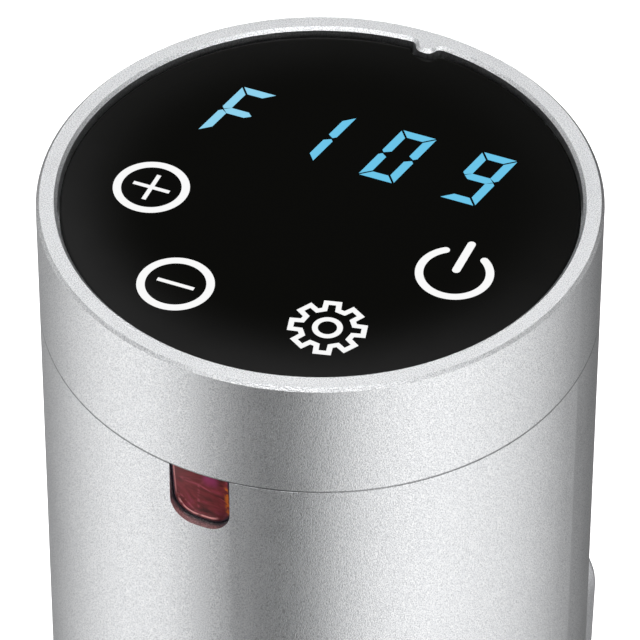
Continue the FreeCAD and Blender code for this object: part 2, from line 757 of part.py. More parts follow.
# ---- wet side
def make_heater_coil():
    # a round rod: down from the bulkhead, once round the coil from top to base, in and up again
    slope, top_bend, in_bend, up_bend, outer, inner = leg_spots()
    radius, wire, pitch = val("coil_radius"), val("coil_rod"), val("coil_pitch")
    turns, base = val("coil_turns"), val("coil_base")
    leg_top = val("body_base") + 8
    up, out = V(0, 0, 1), V(1, 0, 0)
    along = V(0, math.cos(slope), math.sin(slope))
    windings = coil(radius, wire, pitch, turns)
    windings.translate(V(0, 0, base))
    high = V(radius, 0, base + pitch * turns)
    rise = elbow(high, along, V(0, -math.sin(slope), math.cos(slope)), top_bend, 90 - math.degrees(slope), wire)
    outer_foot = V(outer.x, outer.y, high.z + top_bend * math.cos(slope))
    low = V(radius, 0, base)
    inward = elbow(low, -along, -out, in_bend, 90, wire)
    turn_up = low - out * in_bend - along * in_bend
    upward = elbow(turn_up, -out, up, up_bend, 90, wire)
    inner_foot = turn_up - out * up_bend + up * up_bend
    legs = [bar(foot, up, leg_top - foot.z, wire) for foot in (outer_foot, inner_foot)]
    shaped("heater_coil", windings.fuse([rise, inward, upward] + legs))


def make_temperature_probe():
    body = new_body("temperature_probe")
    x, y = probe_spots["temperature_probe"][0]
    foot = "coil_base + 24"
    rod(body, "sheath", (x, y, foot), "2", "body_base + 6 - (" + foot + ")")
    dress(body, "Fillet", "tip", "1.9", lambda e, c: abs(c.z - val(foot)) < 1e-3)


def make_level_sensors():
    body = new_body("level_sensors")
    for i, ((x, y), foot) in enumerate(zip(probe_spots["level_sensors"], ("94", "120"))):
        rod(body, f"pin_{i + 1}", (x, y, foot), "1.2", f"body_base + 6 - {foot}")


def make_shaft_tube():
    body = new_body("shaft_tube")
    turn(body, "tube", rectangle("tube_radius - 0.8", "tube_base", "tube_radius", "body_base"))


def make_shaft_bushings():
    body = new_body("shaft_bushings")
    for name, foot in (("lower", "tube_base"), ("upper", "body_base - 9")):
        turn(body, name, rectangle("shaft_radius + run_fit", foot, "tube_radius - 0.8", foot + " + 8"))


def make_drive_shaft():
    body = new_body("drive_shaft")
    rod(body, "shaft", ("0", "0", "impeller_base - 2"), "shaft_radius", "shelf_level - 8 - impeller_base + 2")
    dress(body, "Chamfer", "shaft_tip", "0.4", lambda e, c: round_at(e, "shaft_radius", "impeller_base - 2"))


def make_impeller():
    # six leaning blades under a disc, on a hub
    body = new_body("impeller")
    tip = "impeller_radius"
    rod(body, "hub", ("0", "0", "impeller_base"), "5", "blade_height + 6")
    blade = pad(body, "blade", lambda s: draw_outline(s, [
        ("-0.9", "3"), ("0.9", "3"), (tip + " * 0.36", tip + " * 0.91"), (tip + " * 0.29", tip + " * 0.94")]),
        "blade_height", offset="impeller_base")
    around(body, "blades", [blade], 6)
    rod(body, "disc", ("0", "0", "impeller_base + blade_height"), tip, "1.4")
    rod(body, "bore", ("0", "0", "impeller_base"), "shaft_radius", "blade_height + 6", cut=True)


def make_skirt():
    body = new_body("skirt")
    top = bulkhead + " - 0.2"
    turn(body, "tube", rectangle(skirt_bore, "skirt_base + 0.1", "skirt_radius", top))
    slot = block(body, "slot", ("-slot_width / 2", "-30", "slot_base"), ("slot_width", "6", "slot_height"), cut=True)
    around(body, "slots", [slot], 8)
    middle = val("slot_base + slot_height / 2")
    dress(body, "Fillet", "slot_ends", "slot_width / 2 - 0.05",
          lambda e, c: isinstance(e.Curve, Part.Line) and abs(e.Vertexes[0].Z - e.Vertexes[1].Z) < 1e-6
          and abs(abs(c.z - middle) - val("slot_height / 2")) < 1e-3)
    port = pocket(body, "port", lambda s: draw_circle(s, "0", "port_level", "port_radius"), "skirt_radius + 1",
                  "XZ_Plane")
    around(body, "ports", [port], 12)


def make_end_cap():
    # the black foot: a fluted lip under the skirt and a plug inside it, round the intake grille
    body = new_body("end_cap")
    plug_top = "skirt_base + 12"
    turn(body, "cap", [
        ("grille_radius", "0"), ("skirt_radius - 1.5", "0"), ("skirt_radius", "1.5"), ("skirt_radius", "skirt_base"),
        (plug_radius, "skirt_base"), (plug_radius, plug_top), (plug_radius + " - 2", plug_top),
        (plug_radius + " - 2", "grille_thick"), ("grille_radius", "grille_thick")])
    flute = rod(body, "flute", ("0", "-skirt_radius - 0.5", "2.6"), "0.9", "skirt_base - 3.6", cut=True)
    around(body, "flutes", [flute], 36)


def make_intake_grille():
    # the slotted disc in the middle of the foot, solid at its centre
    body = new_body("intake_grille")
    rod(body, "disc", ("0", "0", "0"), "grille_radius", "grille_thick")
    slot = block(body, "intake_slot", ("-1.6", "9", "0"), ("3.2", "12", "grille_thick"), cut=True)
    around(body, "intake_slots", [slot], 10)


# ---- clamp
def make_clamp_bracket():
    # a saddle on the tube with two ears for the pin
    body = new_body("clamp_bracket")
    low, high = "pin_level - 18", "pin_level + 18"
    block(body, "plate", ("-bracket_half", "26", low), ("2 * bracket_half", "bracket_reach - 26", "36"))
    dress(body, "Fillet", "plate_corners", "4", lambda e, c: runs_along(e, V(0, 1, 0)))
    rod(body, "saddle", ("0", "0", low), "body_radius", "36", cut=True)
    dress(body, "Fillet", "plate_edge", "0.6", lambda e, c: abs(c.y - val("bracket_reach")) < 1e-3)
    for name, start in (("left", "-bracket_half"), ("right", "bracket_half - ear_thick")):
        block(body, name + "_ear", (start, "31", "pin_level - 5"), ("ear_thick", "pin_reach - 31", "10"))
        rod(body, name + "_ear_end", (start, "pin_reach", "pin_level"), "5", "ear_thick", axis="x")
    rod(body, "pin_hole", ("-bracket_half", "pin_reach", "pin_level"), "pin_radius", "2 * bracket_half",
        axis="x", cut=True)
    for name, side in (("upper_screw_hole", "+"), ("lower_screw_hole", "-")):
        rod(body, name, ("0", "26", f"pin_level {side} screw_spread"), "1.6", "8", axis="y", cut=True)


def make_bracket_screws():
    body = new_body("bracket_screws")
    for name, side in (("upper", "+"), ("lower", "-")):
        level = f"pin_level {side} screw_spread"
        rod(body, name + "_shank", ("0", "24", level), "1.5", "bracket_reach - 24", axis="y")
        rod(body, name + "_head", ("0", "bracket_reach", level), "2.8", "1.8", axis="y")
        hexagon(body, name + "_socket", ("0", "bracket_reach + 0.8", level), "1.4", "1", axis="y", cut=True)


def make_nut_plate():
    # the threaded strip inside the tube that the clamp's screws pull on
    body = new_body("nut_plate")
    low = "pin_level - 15"
    block(body, "strip", ("-7", "25", low), ("14", "4", "30"))
    turn(body, "outer_face", rectangle(tube_bore, low + " - 1", "body_radius + 4", low + " + 31"), cut=True)
    for name, side in (("upper_thread", "+"), ("lower_thread", "-")):
        rod(body, name, ("0", "25", f"pin_level {side} screw_spread"), "1.5", "4", axis="y", cut=True)


def lever_form(name, inset):
    # the lever's solid form, or what its inside takes away: a side outline within a front outline
    side = doc.addObject("PartDesign::Body", name + "_side")
    back = f"lever_back - {inset}"
    knee = f"jaw_back - {inset}"
    lift = f"{inset} * 0.41"
    if inset == "0":
        front = [("lever_back - lever_rim", "lever_top"), ("lever_back - lever_rim", "pin_level + 10"),
                 ("pin_reach - 2", "pin_level + 4.6"), ("pin_reach - 2", "pin_level - 4.6"),
                 ("lever_back - lever_rim", "pin_level - 10"), ("lever_back - lever_rim", "jaw_knee + 13"),
                 ("jaw_back - lever_rim", "jaw_knee + 2"), ("jaw_back - lever_rim", "jaw_base")]
    else:
        front = [("body_radius", f"lever_top - {inset}"), ("body_radius", f"jaw_base + {inset}")]
    pad(side, name + "_side_pad", lambda s: draw_outline(s, [(back, f"lever_top - {inset}")] + front + [
        (knee, f"jaw_base + {inset}"), (knee, f"jaw_knee + {lift}"),
        (back, f"jaw_knee + lever_back - jaw_back + {lift}")]),
        "3 * lever_half", plane="YZ_Plane", both_ways=True)
    if inset == "0":
        rod(side, "pin_boss", ("-1.5 * lever_half", "pin_reach", "pin_level"), "5.2", "3 * lever_half", axis="x")
    face = doc.addObject("PartDesign::Body", name + "_face")
    wide = f"lever_half - {inset}"
    slim = f"lever_half - lever_taper - {inset}"
    top, low = f"lever_top - {inset}", f"jaw_base + {inset}"
    pad(face, name + "_face_pad", lambda s: draw_outline(s, [
        (f"-({slim})", low), (slim, low), (wide, top), (f"-({wide})", top)]),
        "120", plane="XZ_Plane", both_ways=True)
    dress(face, "Fillet", name + "_top_corners", f"lever_corner - {inset}",
          lambda e, c: runs_along(e, V(0, 1, 0)) and c.z > val("pin_level"))
    dress(face, "Fillet", name + "_low_corners", f"3.5 - {inset}",
          lambda e, c: runs_along(e, V(0, 1, 0)) and c.z < val("pin_level"))
    form = doc.addObject("Part::Common", name)
    form.Base, form.Tool = side, face
    return form


def make_clamp_lever():
    # a pressed pan: thumb end on top, ears round the pin, and the jaw turned in towards the tube
    outside = lever_form("lever_outside", "0")
    inside = lever_form("lever_inside", "lever_sheet")
    doc.recompute()
    soft = doc.addObject("Part::Fillet", "lever_soft")
    soft.Base = outside
    back = val("lever_back")
    edges = [i for i, e in enumerate(outside.Shape.Edges, start=1)
             if all(abs(v.Point.y - back) < 1e-3 for v in e.Vertexes) and e.CenterOfMass.z > val("jaw_knee") + 12]
    soft.Edges = [(i, 1.2, 1.2) for i in edges]
    pan = doc.addObject("Part::Cut", "lever_pan")
    pan.Base, pan.Tool = soft, inside
    hole = doc.addObject("Part::Cylinder", "lever_pin_hole")
    hole.Placement = FreeCAD.Placement(V(), turned_to["x"])
    hole.setExpression("Radius", bound("pin_radius + 0.06"))
    hole.setExpression("Height", bound("4 * lever_half"))
    place(hole, ("-2 * lever_half", "pin_reach", "pin_level"))
    lever = node("Part::Cut", "clamp_lever")
    lever.Base, lever.Tool = pan, hole


def make_clamp_pin():
    body = new_body("clamp_pin")
    half = "lever_half + 0.5"
    rod(body, "pin", ("-(" + half + ")", "pin_reach", "pin_level"), "pin_radius", "2 * (" + half + ")", axis="x")
    for name, start in (("left_head", "-(" + half + ")"), ("right_head", half + " - 0.8")):
        rod(body, name, (start, "pin_reach", "pin_level"), "3.2", "0.8", axis="x")
    dress(body, "Fillet", "head_edges", "0.4",
          lambda e, c: abs(abs(c.x) - val(half)) < 1e-3 and isinstance(e.Curve, Part.Circle))


def make_clamp_spring():
    # a torsion spring on the pin: one end rests on the bracket, the other on the lever's inside
    radius, wire, pitch = val("spring_radius"), val("spring_wire"), val("spring_pitch")
    turns = 8 - (180 + val("spring_lean")) / 360
    spring = coil(radius, wire, pitch, turns)
    slope = pitch / (2 * math.pi * radius)
    still_end = bar(V(radius, 0, 0), V(0, -1, -slope), val("spring_still_arm"), wire)
    turned = math.radians(360 * turns)
    tip = V(radius * math.cos(turned), radius * math.sin(turned), pitch * turns)
    moving_end = bar(tip, V(-math.sin(turned), math.cos(turned), slope), val("spring_moving_arm"), wire)
    spring = spring.fuse([still_end, moving_end])
    to_pin = FreeCAD.Rotation(V(0, -1, 0), V(0, 0, -1), V(1, 0, 0), "ZXY")
    middle = V(-pitch * turns / 2, val("pin_reach"), val("pin_level"))
    shaped("clamp_spring", spring, FreeCAD.Placement(middle, to_pin))


def make_jaw_pad():
    body = new_body("jaw_pad")
    face = "body_radius + pad_thick + pad_gap"
    inner = "jaw_back - lever_sheet"
    block(body, "pad", ("-pad_half", face, "jaw_base + 1.8"),
          ("2 * pad_half", inner + " - (" + face + ")", "jaw_knee - jaw_base - 2.2"))
    dress(body, "Fillet", "pad_corners", "2.2", lambda e, c: runs_along(e, V(0, 1, 0)))
    for i in range(3):
        block(body, f"groove_{i + 1}", ("-pad_half", face, f"jaw_base + 4.2 + {i} * 2.8"),
              ("2 * pad_half", "0.6", "1"), cut=True)


def make_body_pad():
    body = new_body("body_pad")
    turn(body, "ring", rectangle("body_radius", "jaw_base", "body_radius + pad_thick", "jaw_knee + 2"))
    for name, corner, width in (("left_trim", "-40", "40 - pad_half"), ("right_trim", "pad_half", "40 - pad_half")):
        block(body, name, (corner, "-40", "jaw_base"), (width, "80", "jaw_knee + 2 - jaw_base"), cut=True)
    block(body, "front_trim", ("-pad_half", "-40", "jaw_base"), ("2 * pad_half", "50", "jaw_knee + 2 - jaw_base"),
          cut=True)


def check_and_write():
    doc.recompute()
    for thing in doc.Objects:
        if "Invalid" in thing.State or "Error" in thing.State:
            raise RuntimeError(f"{thing.Label} is {thing.State}")
    for thing in nodes:
        if thing.Shape.isNull() or not thing.Shape.isValid() or not thing.Shape.Solids:
            raise RuntimeError(f"{thing.Label} has no valid solid")
    os.makedirs("parts", exist_ok=True)
    for thing in nodes:
        thing.Shape.exportStep(f"parts/{thing.Label}.step")
    print(len(nodes), "sub-parts written")


makers = (make_bezel_ring, make_touch_panel, make_panel_gasket, make_led_display, make_display_board,
          make_touch_contacts, make_controller_chip, make_buzzer, make_display_carrier,
          make_carrier_screws, make_indicator_window, make_indicator_led, make_upper_housing,
          make_cord_gland, make_gland_nut, make_main_chassis, make_power_board, make_transformer,
          make_capacitors, make_heat_sink, make_triac, make_relay, make_emc_choke, make_fuse,
          make_terminal_block, make_motor_cradle, make_motor_mount, make_motor_isolators,
          make_motor_can, make_motor_screws, make_motor_magnets, make_motor_end_bell,
          make_motor_armature, make_motor_shaft, make_shaft_coupling, make_collar, make_collar_seal,
          make_heater_grommets, make_shaft_seal, make_thermal_cutout, make_heater_coil,
          make_temperature_probe, make_level_sensors, make_shaft_tube, make_shaft_bushings,
          make_drive_shaft, make_impeller, make_skirt, make_end_cap, make_intake_grille,
          make_clamp_bracket, make_bracket_screws, make_nut_plate, make_clamp_lever, make_clamp_pin,
          make_clamp_spring, make_jaw_pad, make_body_pad)
for make in makers:
    make()
check_and_write()
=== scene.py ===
import bpy
import bmesh
import json
import math
from mathutils import Euler, Matrix, Vector


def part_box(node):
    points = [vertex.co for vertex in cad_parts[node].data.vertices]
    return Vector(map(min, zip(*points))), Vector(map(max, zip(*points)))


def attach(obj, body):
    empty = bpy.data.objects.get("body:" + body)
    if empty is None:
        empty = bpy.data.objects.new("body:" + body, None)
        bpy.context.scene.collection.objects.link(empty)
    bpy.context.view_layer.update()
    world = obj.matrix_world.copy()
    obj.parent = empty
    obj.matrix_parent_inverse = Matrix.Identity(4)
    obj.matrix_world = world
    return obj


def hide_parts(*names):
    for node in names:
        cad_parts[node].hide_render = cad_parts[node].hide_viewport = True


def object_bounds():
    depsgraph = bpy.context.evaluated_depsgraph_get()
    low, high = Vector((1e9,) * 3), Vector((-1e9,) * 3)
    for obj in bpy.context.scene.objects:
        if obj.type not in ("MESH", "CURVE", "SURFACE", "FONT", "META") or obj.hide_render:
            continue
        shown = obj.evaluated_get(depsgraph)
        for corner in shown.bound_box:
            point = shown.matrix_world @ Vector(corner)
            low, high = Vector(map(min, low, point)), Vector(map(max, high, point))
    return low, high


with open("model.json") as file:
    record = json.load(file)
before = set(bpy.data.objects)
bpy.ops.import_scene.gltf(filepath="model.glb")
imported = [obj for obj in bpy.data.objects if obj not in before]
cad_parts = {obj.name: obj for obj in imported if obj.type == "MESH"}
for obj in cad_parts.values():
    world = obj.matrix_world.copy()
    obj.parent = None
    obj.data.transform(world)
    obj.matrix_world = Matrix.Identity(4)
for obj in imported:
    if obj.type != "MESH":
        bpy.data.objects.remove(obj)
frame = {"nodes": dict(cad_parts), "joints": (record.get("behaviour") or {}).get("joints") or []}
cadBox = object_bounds()
nodes = frame["nodes"]
mm = 0.001
print("frame loaded:", len(nodes), "parts")


class Wire:
    # an output socket that plain arithmetic works on
    def __init__(self, graph, socket):
        self.graph = graph
        self.socket = socket

    def maths(self, operation, *values):
        return self.graph.node("Math", {"operation": operation}, dict(enumerate(values)))

    def atLeast(self, low):
        return self.maths("MAXIMUM", self, low)

    def swing(self, amount):
        # a noise, as a change of up to half the amount either way
        return (self - 0.5) * amount

    def __add__(self, other):
        return self.maths("ADD", self, other)

    def __radd__(self, other):
        return self.maths("ADD", other, self)

    def __sub__(self, other):
        return self.maths("SUBTRACT", self, other)

    def __rsub__(self, other):
        return self.maths("SUBTRACT", other, self)

    def __mul__(self, other):
        return self.maths("MULTIPLY", self, other)

    def __rmul__(self, other):
        return self.maths("MULTIPLY", other, self)

    def __truediv__(self, other):
        return self.maths("DIVIDE", self, other)

    def __pow__(self, other):
        return self.maths("POWER", self, other)

    def __abs__(self):
        return self.maths("ABSOLUTE", self)


class Graph:
    # a node tree that is emptied and filled again
    def __init__(self, tree):
        self.tree = tree
        tree.nodes.clear()

    def node(self, kind, settings=None, values=None, out=0):
        made = self.tree.nodes.new("ShaderNode" + kind)
        for name, value in (settings or {}).items():
            if name == "stops":
                setStops(made.color_ramp, value)
            else:
                setattr(made, name, value)
        for name, value in (values or {}).items():
            if isinstance(value, Wire):
                self.tree.links.new(value.socket, made.inputs[name])
            else:
                made.inputs[name].default_value = value
        return Wire(self, made.outputs[out]) if made.outputs else made

    def ramp(self, value, stops):
        return self.node("ValToRGB", {"stops": stops}, {0: value})

    def mix(self, factor, first, second, blend="MIX"):
        settings = {"data_type": "RGBA", "blend_type": blend}
        return self.node("Mix", settings, {0: factor, 6: first, 7: second}, out=2)

    def shaded(self, tone, level):
        # a tone made paler or darker, by a level near 1
        grey = self.node("CombineColor", None, {0: level, 1: level, 2: level})
        return self.mix(1.0, rgba(tone), grey, "MULTIPLY")

    def between(self, value, low, high):
        # 0 at low and 1 at high, level outside
        settings = {"clamp": True, "interpolation_type": "SMOOTHSTEP"}
        return self.node("MapRange", settings, {0: value, 1: low, 2: high, 3: 0.0, 4: 1.0})


def setStops(ramp, stops):
    while len(ramp.elements) < len(stops):
        ramp.elements.new(0.5)
    for element, (place, tone) in zip(ramp.elements, stops):
        element.position = place
        element.color = rgba(tone)


def rgba(tone):
    if isinstance(tone, (int, float)):
        tone = (tone, tone, tone)
    return (tone[0], tone[1], tone[2], 1.0)


class Finish(Graph):
    # a material with one principled shader; what varies is fed, what doesn't is set
    def __init__(self, name, **fixed):
        self.material = bpy.data.materials.new(name)
        self.material.use_nodes = True
        super().__init__(self.material.node_tree)
        shader = self.node("BsdfPrincipled")
        self.shader = shader.socket.node
        self.node("OutputMaterial", None, {"Surface": shader})
        self.set(**fixed)
        self.place = self.node("TexCoord", out=3)
        self.split = self.node("SeparateXYZ", None, {0: self.place})

    def set(self, **fixed):
        names = {"metal": "Metallic", "rough": "Roughness", "coat": "Coat Weight", "sheen": "Sheen Weight",
                 "gloss": "Specular IOR Level", "base": "Base Color", "light": "Emission Color",
                 "glow": "Emission Strength"}
        for name, value in fixed.items():
            socket = self.shader.inputs[names[name]]
            socket.default_value = rgba(value) if name in ("base", "light") else value

    def feed(self, name, wire):
        self.tree.links.new(wire.socket, self.shader.inputs[name])

    def axis(self, index):
        return Wire(self, self.split.socket.node.outputs[index])

    def stretched(self, scale):
        return self.node("VectorMath", {"operation": "MULTIPLY"}, {0: self.place, 1: scale})

    def grain(self, scale, detail=2.0, rough=0.5, stretch=None):
        where = self.stretched(stretch) if stretch else self.place
        values = {"Vector": where, "Scale": scale, "Detail": detail, "Roughness": rough}
        return self.node("TexNoise", None, values)

    def cells(self, scale, feature="F1", scatter=1.0, stretch=None):
        where = self.stretched(stretch) if stretch else self.place
        values = {"Vector": where, "Scale": scale, "Randomness": scatter}
        return self.node("TexVoronoi", {"feature": feature}, values)

    def bands(self, across, scale, wobble, detail=2.0):
        settings = {"wave_type": "BANDS", "bands_direction": across}
        values = {"Vector": self.place, "Scale": scale, "Distortion": wobble, "Detail": detail}
        return self.node("TexWave", settings, values)

    def emboss(self, height, depth, strength=1.0):
        # depth in metres
        bump = self.node("Bump", None, {"Strength": strength, "Distance": depth, "Height": height})
        self.feed("Normal", bump)


def tinted(tone, factor):
    return tuple(min(1.0, channel * factor) for channel in tone)


def lifted(tone, amount):
    return tuple(channel + amount for channel in tone)


def blastedAluminium(name, look):
    # bead blasted, then anodised: crisp pits over slow clouds, with a painted shadow along the seam
    made = Finish(name, metal=1.0)
    pits = made.between(made.grain(look["pits"], 1.0, 0.6), 0.30, 0.70)
    cloud = made.grain(look["clouds"], 3.0)
    level = 1.0 + pits.swing(look["speckle"]) + cloud.swing(0.05)
    if "seam" in look:
        # painted shade: the colour is darkened in a thin band along the seam between ring and housing
        away = abs(made.axis(2) - look["seam"])
        seamShadow = 1.0 - made.between(away, look["seamHalf"] * 0.3, look["seamHalf"])
        level = level * (1.0 - seamShadow * look["seamShadowStrength"])
        pits = pits * (1.0 - seamShadow)
    made.feed("Base Color", made.shaded(look["tone"], level))
    made.feed("Roughness", look["rough"] + cloud.swing(0.06))
    made.emboss(pits, look["pitDepth"])
    return made.material


def brushedSteel(name, look):
    # long fine scratches one way, with slow bands of tone
    made = Finish(name, metal=1.0)
    lines = made.grain(1.0, 3.0, 0.7, look["stretch"])
    coarse = made.grain(1.0, 2.0, 0.5, tuple(s * 0.22 for s in look["stretch"]))
    cloud = made.grain(40.0, 3.0)
    level = 0.9 + lines.swing(look["lines"]) + coarse.swing(look["lines"] * 0.6)
    made.feed("Base Color", made.shaded(look["tone"], level + cloud.swing(0.12)))
    made.feed("Roughness", look["rough"] + lines.swing(0.18) + cloud.swing(0.08))
    made.emboss(lines + coarse * 0.6, look.get("scratchDepth", 4e-6), 0.4)
    return made.material


def platedSteel(name, look):
    # zinc plate: pale, a little mottled and dull in patches
    made = Finish(name, metal=1.0)
    spangle = made.cells(look["spangle"])
    cloud = made.grain(look["spangle"] * 0.3, 4.0)
    pits = made.grain(6000.0, 2.0)
    level = 0.88 + spangle.swing(0.14) + cloud.swing(0.24)
    made.feed("Base Color", made.shaded(look["tone"], level))
    made.feed("Roughness", look["rough"] + cloud.swing(0.2))
    made.emboss(pits + cloud, 6e-6, 0.35)
    return made.material


def mouldedPlastic(name, look):
    # spark-eroded mould texture, with faint flow marks and handling shine
    made = Finish(name, gloss=0.45)
    skin = made.grain(look["texture"], 3.0, 0.6)
    pits = made.cells(look["texture"] * 0.7)
    flow = made.grain(55.0, 3.0, 0.5, (1.0, 1.0, 0.35))
    dust = made.grain(420.0, 5.0, 0.65)
    dusty = made.between(dust, 0.56, 0.74) * look.get("dust", 0.25)
    tone = look["tone"]
    plain = made.mix(flow, rgba(tinted(tone, 0.82)), rgba(tinted(tone, 1.2)))
    made.feed("Base Color", made.mix(dusty, plain, rgba(lifted(tone, 0.06))))
    made.feed("Roughness", look["rough"] + skin.swing(0.22) + flow.swing(0.12))
    made.emboss(skin + pits * 0.8, look.get("skinDepth", 1.6e-5), 0.6)
    return made.material


def softRubber(name, look):
    # matt silicone with a bloom of fine dust in its grain
    made = Finish(name, gloss=0.3, sheen=0.12)
    skin = made.grain(3200.0, 3.0, 0.6)
    bloom = made.grain(260.0, 4.0, 0.6)
    tone = look["tone"]
    dusty = made.between(bloom, 0.4, 0.75)
    made.feed("Base Color", made.mix(dusty, rgba(tinted(tone, 0.9)), rgba(lifted(tone, 0.035))))
    made.feed("Roughness", look["rough"] + bloom.swing(0.2))
    made.emboss(skin + bloom * 0.4, 2.2e-5, 0.5)
    return made.material


def circuitBoard(name, look):
    # solder mask over copper tracks, with tinned pads
    made = Finish(name, gloss=0.5)
    track = 1.0 - made.between(made.cells(look["tracks"], "DISTANCE_TO_EDGE", 0.35), 0.05, 0.09)
    pad = 1.0 - made.between(made.cells(look["pads"], scatter=0.0), 0.16, 0.2)
    pad = pad * made.between(made.grain(90.0, 1.0), 0.52, 0.56)  # only some places have pads
    weave = made.grain(2500.0, 2.0)
    tone = look["tone"]
    mask = made.mix(track, rgba(tone), rgba(tinted(tone, 1.7)))
    made.feed("Base Color", made.mix(pad, mask, rgba((0.62, 0.6, 0.55))))
    made.feed("Metallic", pad * 0.9)
    made.feed("Roughness", 0.34 + weave.swing(0.15))
    made.emboss(track + pad + weave * 0.3, 3e-5, 0.6)
    return made.material


def woundWire(name, look):
    # enamelled wire laid side by side, with painted shade between the turns
    made = Finish(name, metal=0.85, coat=0.4)
    lay = made.bands(look["across"], look["turns"], 0.6, 1.0)
    cloud = made.grain(300.0, 3.0)
    tone = look["tone"]
    # painted shade: each band runs dark where the turns meet and bright on them
    made.feed("Base Color", made.mix(lay, rgba(tinted(tone, 0.35)), rgba(tone)))
    made.feed("Roughness", 0.3 + cloud.swing(0.2))
    made.emboss(lay, 1.2e-4, 0.8)
    return made.material


def stackedIron(name, look):
    # thin laminations on edge, varnished
    made = Finish(name, metal=0.7, coat=0.2)
    leaves = made.bands(look["across"], look["leaves"], 0.2)
    rust = made.grain(240.0, 4.0, 0.65)
    tone = look["tone"]
    shade = made.mix(leaves, rgba(tinted(tone, 0.55)), rgba(tinted(tone, 1.15)))
    made.feed("Base Color", made.mix(made.between(rust, 0.55, 0.72) * 0.5, shade, rgba((0.2, 0.12, 0.07))))
    made.feed("Roughness", 0.45 + rust.swing(0.3))
    made.emboss(leaves + rust * 0.3, 5e-5, 0.6)
    return made.material


def heatedSheath(name, look):
    # polished tube, straw to blue where it ran hot
    made = Finish(name, metal=1.0)
    heat = made.grain(46.0, 3.0, 0.55)
    lines = made.grain(1.0, 3.0, 0.6, (900.0, 900.0, 900.0))
    scale = made.grain(700.0, 5.0, 0.7)
    tint = made.ramp(heat, look["tints"])
    chalk = made.between(scale, 0.58, 0.74) * look["chalk"]
    made.feed("Base Color", made.mix(chalk, tint, rgba((0.72, 0.7, 0.66))))
    made.feed("Roughness", look["rough"] + lines.swing(0.12) + chalk * 0.3)
    made.feed("Metallic", 1.0 - chalk * 0.7)
    made.emboss(lines + scale * 0.5, 1.5e-5, 0.4)
    return made.material


def tintedGlass(name, look):
    # black print behind polished glass, a touch paler towards its ground edge, with a painted glow along
    # that edge that is strongest towards the front and the left
    made = Finish(name, gloss=look["gloss"])
    x, y = made.axis(0), made.axis(1)
    reach = (x * x + y * y) ** 0.5
    edge = made.between(reach, look["radius"] * look["edgeFrom"], look["radius"]) ** look["falloff"]
    glowTowardsFront = made.between(y, *look["front"])
    glowTowardsLeft = made.between(x, *look["left"])
    film = made.grain(90.0, 4.0, 0.6)
    smear = made.grain(1.0, 3.0, 0.6, (60.0, 400.0, 200.0))
    # painted light: a small paleness all round the edge, grown by a painted glow towards the front and the
    # left
    lift = edge * (0.15 + glowTowardsFront * 0.75 + glowTowardsLeft * 0.22) * (0.7 + film * 0.6)
    made.feed("Base Color", made.mix(lift, rgba(look["tone"]), rgba(look["edgeGlowTone"])))
    made.feed("Roughness", look["rough"] + smear.swing(0.05) + edge * 0.05)
    made.emboss(film, 2e-6, 0.2)
    return made.material


def newPiece(name, mesh, body, material, smooth=False):
    piece = bpy.data.objects.new(name, mesh)
    bpy.context.scene.collection.objects.link(piece)
    mesh.materials.append(material)
    for face in mesh.polygons:
        face.use_smooth = smooth
    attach(piece, body)
    return piece


def meshFrom(name, build):
    form = bmesh.new()
    build(form)
    bmesh.ops.recalc_face_normals(form, faces=form.faces)
    mesh = bpy.data.meshes.new(name)
    form.to_mesh(mesh)
    form.free()
    return mesh


def addPlate(form, outline, low, high, hole=None):
    # a flat plate from an outline, or a frame between an outline and a hole with as many points
    top = [form.verts.new((x, y, high)) for x, y in outline]
    base = [form.verts.new((x, y, low)) for x, y in outline]
    count = len(outline)
    walls = [(top, base)]
    if hole:
        topHole = [form.verts.new((x, y, high)) for x, y in hole]
        baseHole = [form.verts.new((x, y, low)) for x, y in hole]
        walls.append((topHole, baseHole))
        for i in range(count):
            j = (i + 1) % count
            form.faces.new((top[i], top[j], topHole[j], topHole[i]))
            form.faces.new((base[i], base[j], baseHole[j], baseHole[i]))
    else:
        form.faces.new(top)
        form.faces.new(base)
    for upper, lower in walls:
        for i in range(count):
            j = (i + 1) % count
            form.faces.new((upper[i], upper[j], lower[j], lower[i]))


def edgesOf(path, half, closed):
    # the two edges of a line drawn along a path, mitred at its corners
    count = len(path)
    left, right = [], []
    for i, point in enumerate(path):
        before = path[i - 1] if closed or i else None
        after = path[(i + 1) % count] if closed or i < count - 1 else None
        into = (point - before).normalized() if before is not None else None
        away = (after - point).normalized() if after is not None else None
        into = into or away
        away = away or into
        firstSide = Vector((-into.y, into.x))
        nextSide = Vector((-away.y, away.x))
        side = (firstSide + nextSide) / (1.0 + firstSide.dot(nextSide)) * half
        left.append(point + side)
        right.append(point - side)
    return left, right


def roundEnd(centre, along, half, steps=8):
    # half a circle round the end of a line, from its left edge to its right
    lean = math.atan2(along.y, along.x)
    angles = [lean + math.pi / 2 - math.pi * i / steps for i in range(1, steps)]
    return [centre + Vector((math.cos(angle), math.sin(angle))) * half for angle in angles]


def addLine(form, path, width, low, high, closed=False, rounded=True):
    path = [Vector(p) for p in path]
    half = width / 2
    left, right = edgesOf(path, half, closed)
    if closed:
        addPlate(form, left, low, high, hole=right)
        return
    end = roundEnd(path[-1], path[-1] - path[-2], half) if rounded else []
    start = roundEnd(path[0], path[0] - path[1], half) if rounded else []
    addPlate(form, left + end + right[::-1] + start, low, high)


def arc(centre, radius, start, sweep, steps):
    # points round a centre; a full circle doesn't repeat its first
    count = steps if abs(sweep) == 360 else steps + 1
    angles = [math.radians(start + sweep * i / steps) for i in range(count)]
    return [Vector((centre[0] + radius * math.cos(angle), centre[1] + radius * math.sin(angle)))
            for angle in angles]


view = {"turn": 24.8, "pitch": 42.37, "lean": 0.12, "reach": 0.47646, "rise": 0.41691, "lens": 337.8,
        "sensor": 36.0, "near": 0.05, "far": 60.0}


